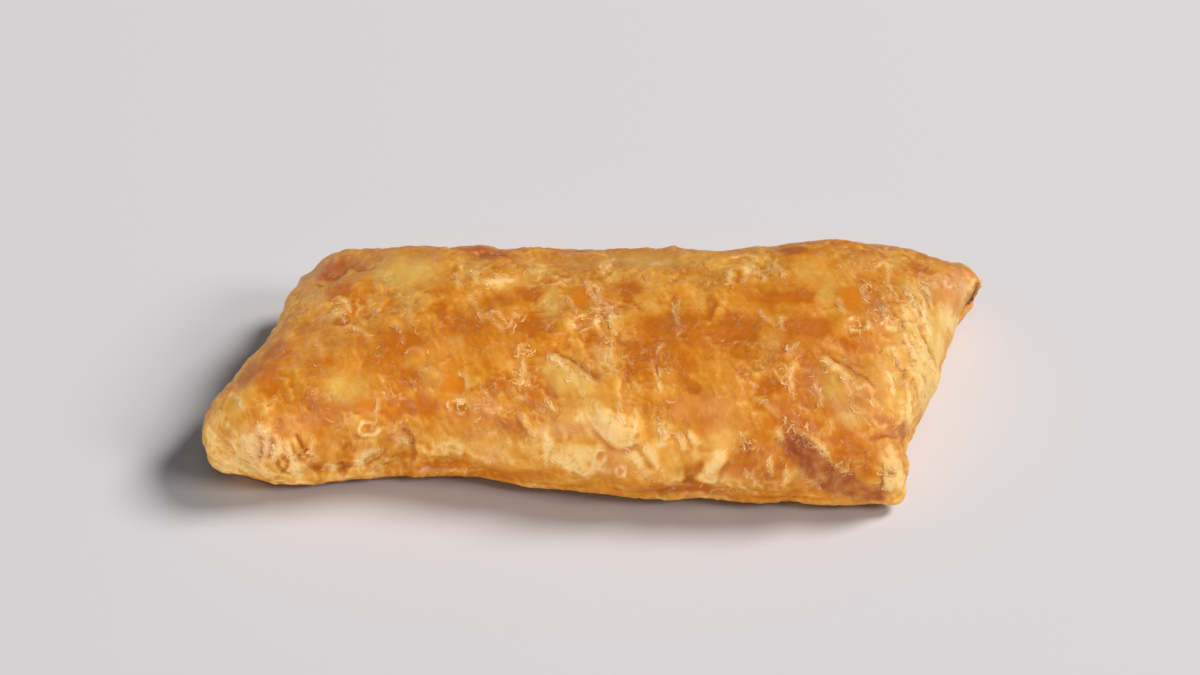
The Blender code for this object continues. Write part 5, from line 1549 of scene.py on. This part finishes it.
def makeBakedTone():
    group, given, out = newGroup(
        "bakedTone",
        [("Bake", number, 0.5)] + [(title, number, 0) for title in toneShares],
        [("Color", "NodeSocketColor", None)])
    ramp = group.nodes.new("ShaderNodeValToRGB")
    while len(ramp.color_ramp.elements) < len(bakeStops):
        ramp.color_ramp.elements.new(0.5)
    for element, (position, name) in zip(ramp.color_ramp.elements, bakeStops):
        element.position = position
        element.color = paint(name)
    group.links.new(given.outputs["Bake"], ramp.inputs["Fac"])
    shade = ramp.outputs["Color"]
    for title, share in toneShares.items():
        amount = addMath(group, "MULTIPLY", given.outputs[title], share, clamp=True)
        shade = addMix(group, amount, shade, paint(title.lower()))
    group.links.new(shade, out.inputs["Color"])
    return group


def addRange(tree, value, low, high):  # 0 at low, 1 at high, eased; low may be above high
    node = tree.nodes.new("ShaderNodeMapRange")
    node.interpolation_type = "SMOOTHSTEP"
    node.inputs["From Min"].default_value = low
    node.inputs["From Max"].default_value = high
    tree.links.new(value, node.inputs["Value"])
    return node.outputs["Result"]


def addNoise(tree, place, scale, detail, roughness, distortion=0.0):
    node = tree.nodes.new("ShaderNodeTexNoise")
    for title, value in (("Vector", place), ("Scale", scale), ("Detail", detail), ("Roughness", roughness),
                         ("Distortion", distortion)):
        feed(tree, node.inputs[title], value)
    return node


crumbLook = {
    "slant": (0, 0, 0.35),            # flecks run down the slope, leaning a little
    "stretch": (1.5, 0.6, 0.7),
    "torn": (1.5, 3.0, 0.5, 1.2),     # share of the size, then detail, roughness and distortion
    "wisp": (0.6, 2.0, 0.5, 0.8),
    "areas": (130.0, 2.0, 0.5),       # scale, detail and roughness of the areas that have flecks
    "areasFade": (0.42, 0.60),
    "fleckFade": (0.58, 0.68),
    "wispBreaks": (0.46, 0.54),
    "wispWide": (0.045, 0.012),
    "pitFade": (0.43, 0.34),
    "warp": (0.001, 0.001, 0.001),
    "plates": (0.8, 2.5, 0.3),        # share of the size, steepness and height of the crazed plates
    "heights": {"speckle": 0.6, "fleck": 0.8, "pit": 0.6},
}


def makeFineCrumb():  # the finest layer of the crust: speckle, light flecks, dark pits and crazing; the pits' darkness is painted shade and the flecks' lightness pale dough with a painted highlight
    group, given, out = newGroup(
        "fineCrumb",
        [("Size", number, 900.0), ("Roughness", number, 0.6), ("Flaky", number, 0.5)],
        [("Speckle", number, None), ("Fleck", number, None), ("Pit", number, None), ("Height", number, None)])
    place = group.nodes.new("ShaderNodeTexCoord").outputs["Object"]
    size = given.outputs["Size"]
    speckle = addNoise(group, place, size, 5.0, given.outputs["Roughness"])
    slant = group.nodes.new("ShaderNodeMapping")
    slant.inputs["Rotation"].default_value = crumbLook["slant"]
    slant.inputs["Scale"].default_value = crumbLook["stretch"]
    feed(group, slant.inputs["Vector"], place)

    def times(a, b, clamp=False):
        return addMath(group, "MULTIPLY", a, b, clamp)

    def slanted(look):
        return addNoise(group, slant.outputs["Vector"], times(size, look[0]), *look[1:]).outputs["Fac"]

    torn = slanted(crumbLook["torn"])
    areas = addNoise(group, place, *crumbLook["areas"]).outputs["Fac"]
    where = times(addRange(group, areas, *crumbLook["areasFade"]), given.outputs["Flaky"])
    fleck = times(addRange(group, torn, *crumbLook["fleckFade"]), where)
    wisp = addMath(group, "ABSOLUTE", addMath(group, "SUBTRACT", slanted(crumbLook["wisp"]), 0.5), 0)
    broken = times(addRange(group, speckle.outputs["Fac"], *crumbLook["wispBreaks"]), where)
    wisp = times(addRange(group, wisp, *crumbLook["wispWide"]), broken)
    fleck = addMath(group, "MAXIMUM", fleck, wisp)
    pit = times(addRange(group, torn, *crumbLook["pitFade"]), where)
    warp = group.nodes.new("ShaderNodeVectorMath")
    warp.operation = "MULTIPLY_ADD"
    for socket, value in zip(warp.inputs, (speckle.outputs["Color"], crumbLook["warp"], place)):
        feed(group, socket, value)
    cracks = group.nodes.new("ShaderNodeTexVoronoi")
    cracks.feature = "DISTANCE_TO_EDGE"
    plateSize, steep, plateHigh = crumbLook["plates"]
    feed(group, cracks.inputs["Vector"], warp.outputs[0])
    feed(group, cracks.inputs["Scale"], times(size, plateSize))
    plates = times(times(cracks.outputs["Distance"], steep, clamp=True), plateHigh)
    heights = crumbLook["heights"]
    ground = addMath(group, "ADD", times(speckle.outputs["Fac"], heights["speckle"]), plates)
    marks = addMath(group, "SUBTRACT", times(fleck, heights["fleck"]), times(pit, heights["pit"]))
    high = addMath(group, "ADD", ground, marks)
    for title, value in (("Speckle", speckle.outputs["Fac"]), ("Fleck", fleck), ("Pit", pit),
                         ("Height", high)):
        feed(group, out.inputs[title], value)
    return group


bakedTone = makeBakedTone()
fineCrumb = makeFineCrumb()


def addGroup(tree, group, **values):
    node = tree.nodes.new("ShaderNodeGroup")
    node.node_tree = group
    for title, value in values.items():
        feed(tree, node.inputs[title], value)
    return node


def readValue(tree, name):
    node = tree.nodes.new("ShaderNodeAttribute")
    node.attribute_name = name
    return node.outputs["Fac"]


crustFinish = {
    "roughness": (0.37, 0.57),    # from smooth windows to flaky ground
    "coat": 0.05,
    "coatRoughness": 0.3,
    "shine": 0.2,
    "crumbSize": 700.0,
    "crumbRoughness": 0.62,
    "bump": 0.75,
    "bumpDistance": 0.22 * mm,
    "speckleShare": 0.07,
    # painted shade in the fine pits
    "pitShade": 0.18,
    # paler dough and painted highlight on the fine flecks and wisps
    "fleckPaleAndLit": 0.38,
    # paler dough and painted highlight on raised edges
    "paleLitEdgeShare": 1.0,
    "glow": 0.12,                 # light that soaks into the dough
    "glowDepth": 1.5 * mm,
    "glowReach": (1.0, 0.45, 0.15),   # how deep red, green and blue go
}
flakeFinish = {**crustFinish, "roughness": (0.28, 0.45), "crumbSize": 1300.0, "bump": 0.12,
               "speckleShare": 0.08, "fleckPaleAndLit": 0.2, "paleLitEdgeShare": 1.1, "pitShade": 0.1,
               "glow": 0.0}
tipFinish = {**flakeFinish, "roughness": (0.45, 0.65), "speckleShare": 0.25, "bump": 0.3}


def makeCrustMaterial(name, finish):
    material = bpy.data.materials.new(name)
    material.use_nodes = True
    tree = material.node_tree
    shader = tree.nodes["Principled BSDF"]
    crumb = addGroup(tree, fineCrumb, Size=finish["crumbSize"], Roughness=finish["crumbRoughness"],
                     Flaky=readValue(tree, "flaky"))
    speckle = addMath(tree, "MULTIPLY", addMath(tree, "SUBTRACT", crumb.outputs["Speckle"], 0.5),
                      finish["speckleShare"] * 2)
    bakeValue = addMath(tree, "ADD", readValue(tree, "bake"), speckle)
    # painted shade: the fine pits are made darker
    pit = addMath(tree, "MULTIPLY", crumb.outputs["Pit"], finish["pitShade"])
    bakeValue = addMath(tree, "ADD", bakeValue, pit)
    # paler dough and painted highlight on the fine flecks
    fleck = addMath(tree, "MULTIPLY", crumb.outputs["Fleck"], finish["fleckPaleAndLit"])
    # paler thin dough and painted highlight on raised edges
    edge = addMath(tree, "MULTIPLY", readValue(tree, "paleLitEdge"), finish["paleLitEdgeShare"])
    edge = addMath(tree, "ADD", edge, fleck, clamp=True)
    read = {title: readValue(tree, title.lower()) for title in toneShares if title != "Edge"}
    tone = addGroup(tree, bakedTone, Bake=bakeValue, Edge=edge, **read)
    shade = addMix(tree, readValue(tree, "underside"), tone.outputs["Color"], paint("underside"))
    tree.links.new(shade, shader.inputs["Base Color"])
    low, high = finish["roughness"]
    rough = addMath(tree, "MULTIPLY", crumb.outputs["Speckle"], high - low)
    tree.links.new(addMath(tree, "ADD", rough, low, clamp=True), shader.inputs["Roughness"])
    for title, value in (("Specular IOR Level", "shine"), ("Coat Weight", "coat"),
                         ("Coat Roughness", "coatRoughness"), ("Subsurface Weight", "glow"),
                         ("Subsurface Radius", "glowReach"), ("Subsurface Scale", "glowDepth")):
        shader.inputs[title].default_value = finish[value]
    bump = tree.nodes.new("ShaderNodeBump")
    bump.inputs["Strength"].default_value = finish["bump"]
    bump.inputs["Distance"].default_value = finish["bumpDistance"]
    tree.links.new(crumb.outputs["Height"], bump.inputs["Height"])
    tree.links.new(bump.outputs["Normal"], shader.inputs["Normal"])
    return material


for piece, finish in ((crust, crustFinish), (looseFlakes, flakeFinish), (scorchedTip, tipFinish)):
    piece.data.materials.clear()
    piece.data.materials.append(makeCrustMaterial(piece.name, finish))
    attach(piece, "root")
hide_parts("bougatsa")
print("crust finished")

# floor, camera and lights

studio = {
    "floor": (214, 214, 221),   # sRGB, 0 to 255
    "floorRoughness": 0.9,
    "floorShine": 0.1,
    "floorSize": 6000,
    "aim": (-0.585, 11.692, 12.0),
    "cameraAbove": 43.0,        # degrees
    "cameraAway": 720.0,
    "lens": 85.0,
    "sensor": 36,
    "seesTo": 50,               # metres
    "sky": 0.15,
    "skyTint": (0.84, 0.93, 1.0),
    "lights": {   # place and size in mm, power in watts, what it lights, and its colour
        "right": ((3100, 1000, 3500), 1900, 150.0, "crust", (1, 1, 1)),
        "rightOnFloor": ((5900, 2100, 5750), 3000, 745.0, "floor", (1, 0.945, 0.875)),
        "sideOnFloor": ((7400, -2300, 5000), 3000, 330.0, "floor", (1, 0.945, 0.89)),
        "end": ((1600, -200, 420), 600, 7.0, "crust", (1, 1, 1)),
        "back": ((-1700, 2300, 1200), 1000, 16.0, "crust", (1, 1, 1)),
        "front": ((-380, -970, 600), 900, 11.2, "crust", (1, 1, 1)),
    },
}


def makeStudio():
    scene = bpy.context.scene
    bpy.ops.mesh.primitive_plane_add(size=studio["floorSize"] * mm)
    floor = bpy.context.object
    floor.name = "paleFloor"
    ground = bpy.data.materials.new("paleFloor")
    ground.use_nodes = True
    inputs = ground.node_tree.nodes["Principled BSDF"].inputs
    inputs["Base Color"].default_value = linear(studio["floor"])
    inputs["Roughness"].default_value = studio["floorRoughness"]
    inputs["Specular IOR Level"].default_value = studio["floorShine"]
    floor.data.materials.append(ground)
    floor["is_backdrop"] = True
    world = bpy.data.worlds.new("paleSky")
    world.use_nodes = True
    world.node_tree.nodes["Background"].inputs["Color"].default_value = (*studio["skyTint"], 1)
    world.node_tree.nodes["Background"].inputs["Strength"].default_value = studio["sky"]
    scene.world = world
    aim = Vector(studio["aim"]) * mm
    lit = {"crust": bpy.data.collections.new("litCrust"), "floor": bpy.data.collections.new("litFloor")}
    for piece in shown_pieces():
        lit["crust"].objects.link(piece)
    lit["floor"].objects.link(floor)
    for name, (place, size, power, share, tint) in studio["lights"].items():
        data = bpy.data.lights.new(name, "AREA")
        data.shape = "DISK"
        data.size = size * mm
        data.energy = power
        data.color = tint
        lamp = bpy.data.objects.new(name, data)
        lamp.location = Vector(place) * mm
        lamp.rotation_euler = (aim - lamp.location).to_track_quat("-Z", "Y").to_euler()
        scene.collection.objects.link(lamp)
        lamp.light_linking.receiver_collection = lit[share]
    camera = bpy.data.objects.new("camera", bpy.data.cameras.new("camera"))
    camera.data.lens = studio["lens"]
    camera.data.sensor_width = studio["sensor"]
    camera.data.clip_end = studio["seesTo"]
    up = math.radians(studio["cameraAbove"])
    camera.location = aim + Vector((0, -math.cos(up), math.sin(up))) * studio["cameraAway"] * mm
    camera.rotation_euler = (aim - camera.location).to_track_quat("-Z", "Y").to_euler()
    scene.collection.objects.link(camera)
    scene.camera = camera
    scene.view_settings.view_transform = "Standard"
    scene.view_settings.look = "None"


makeStudio()
print("studio made")
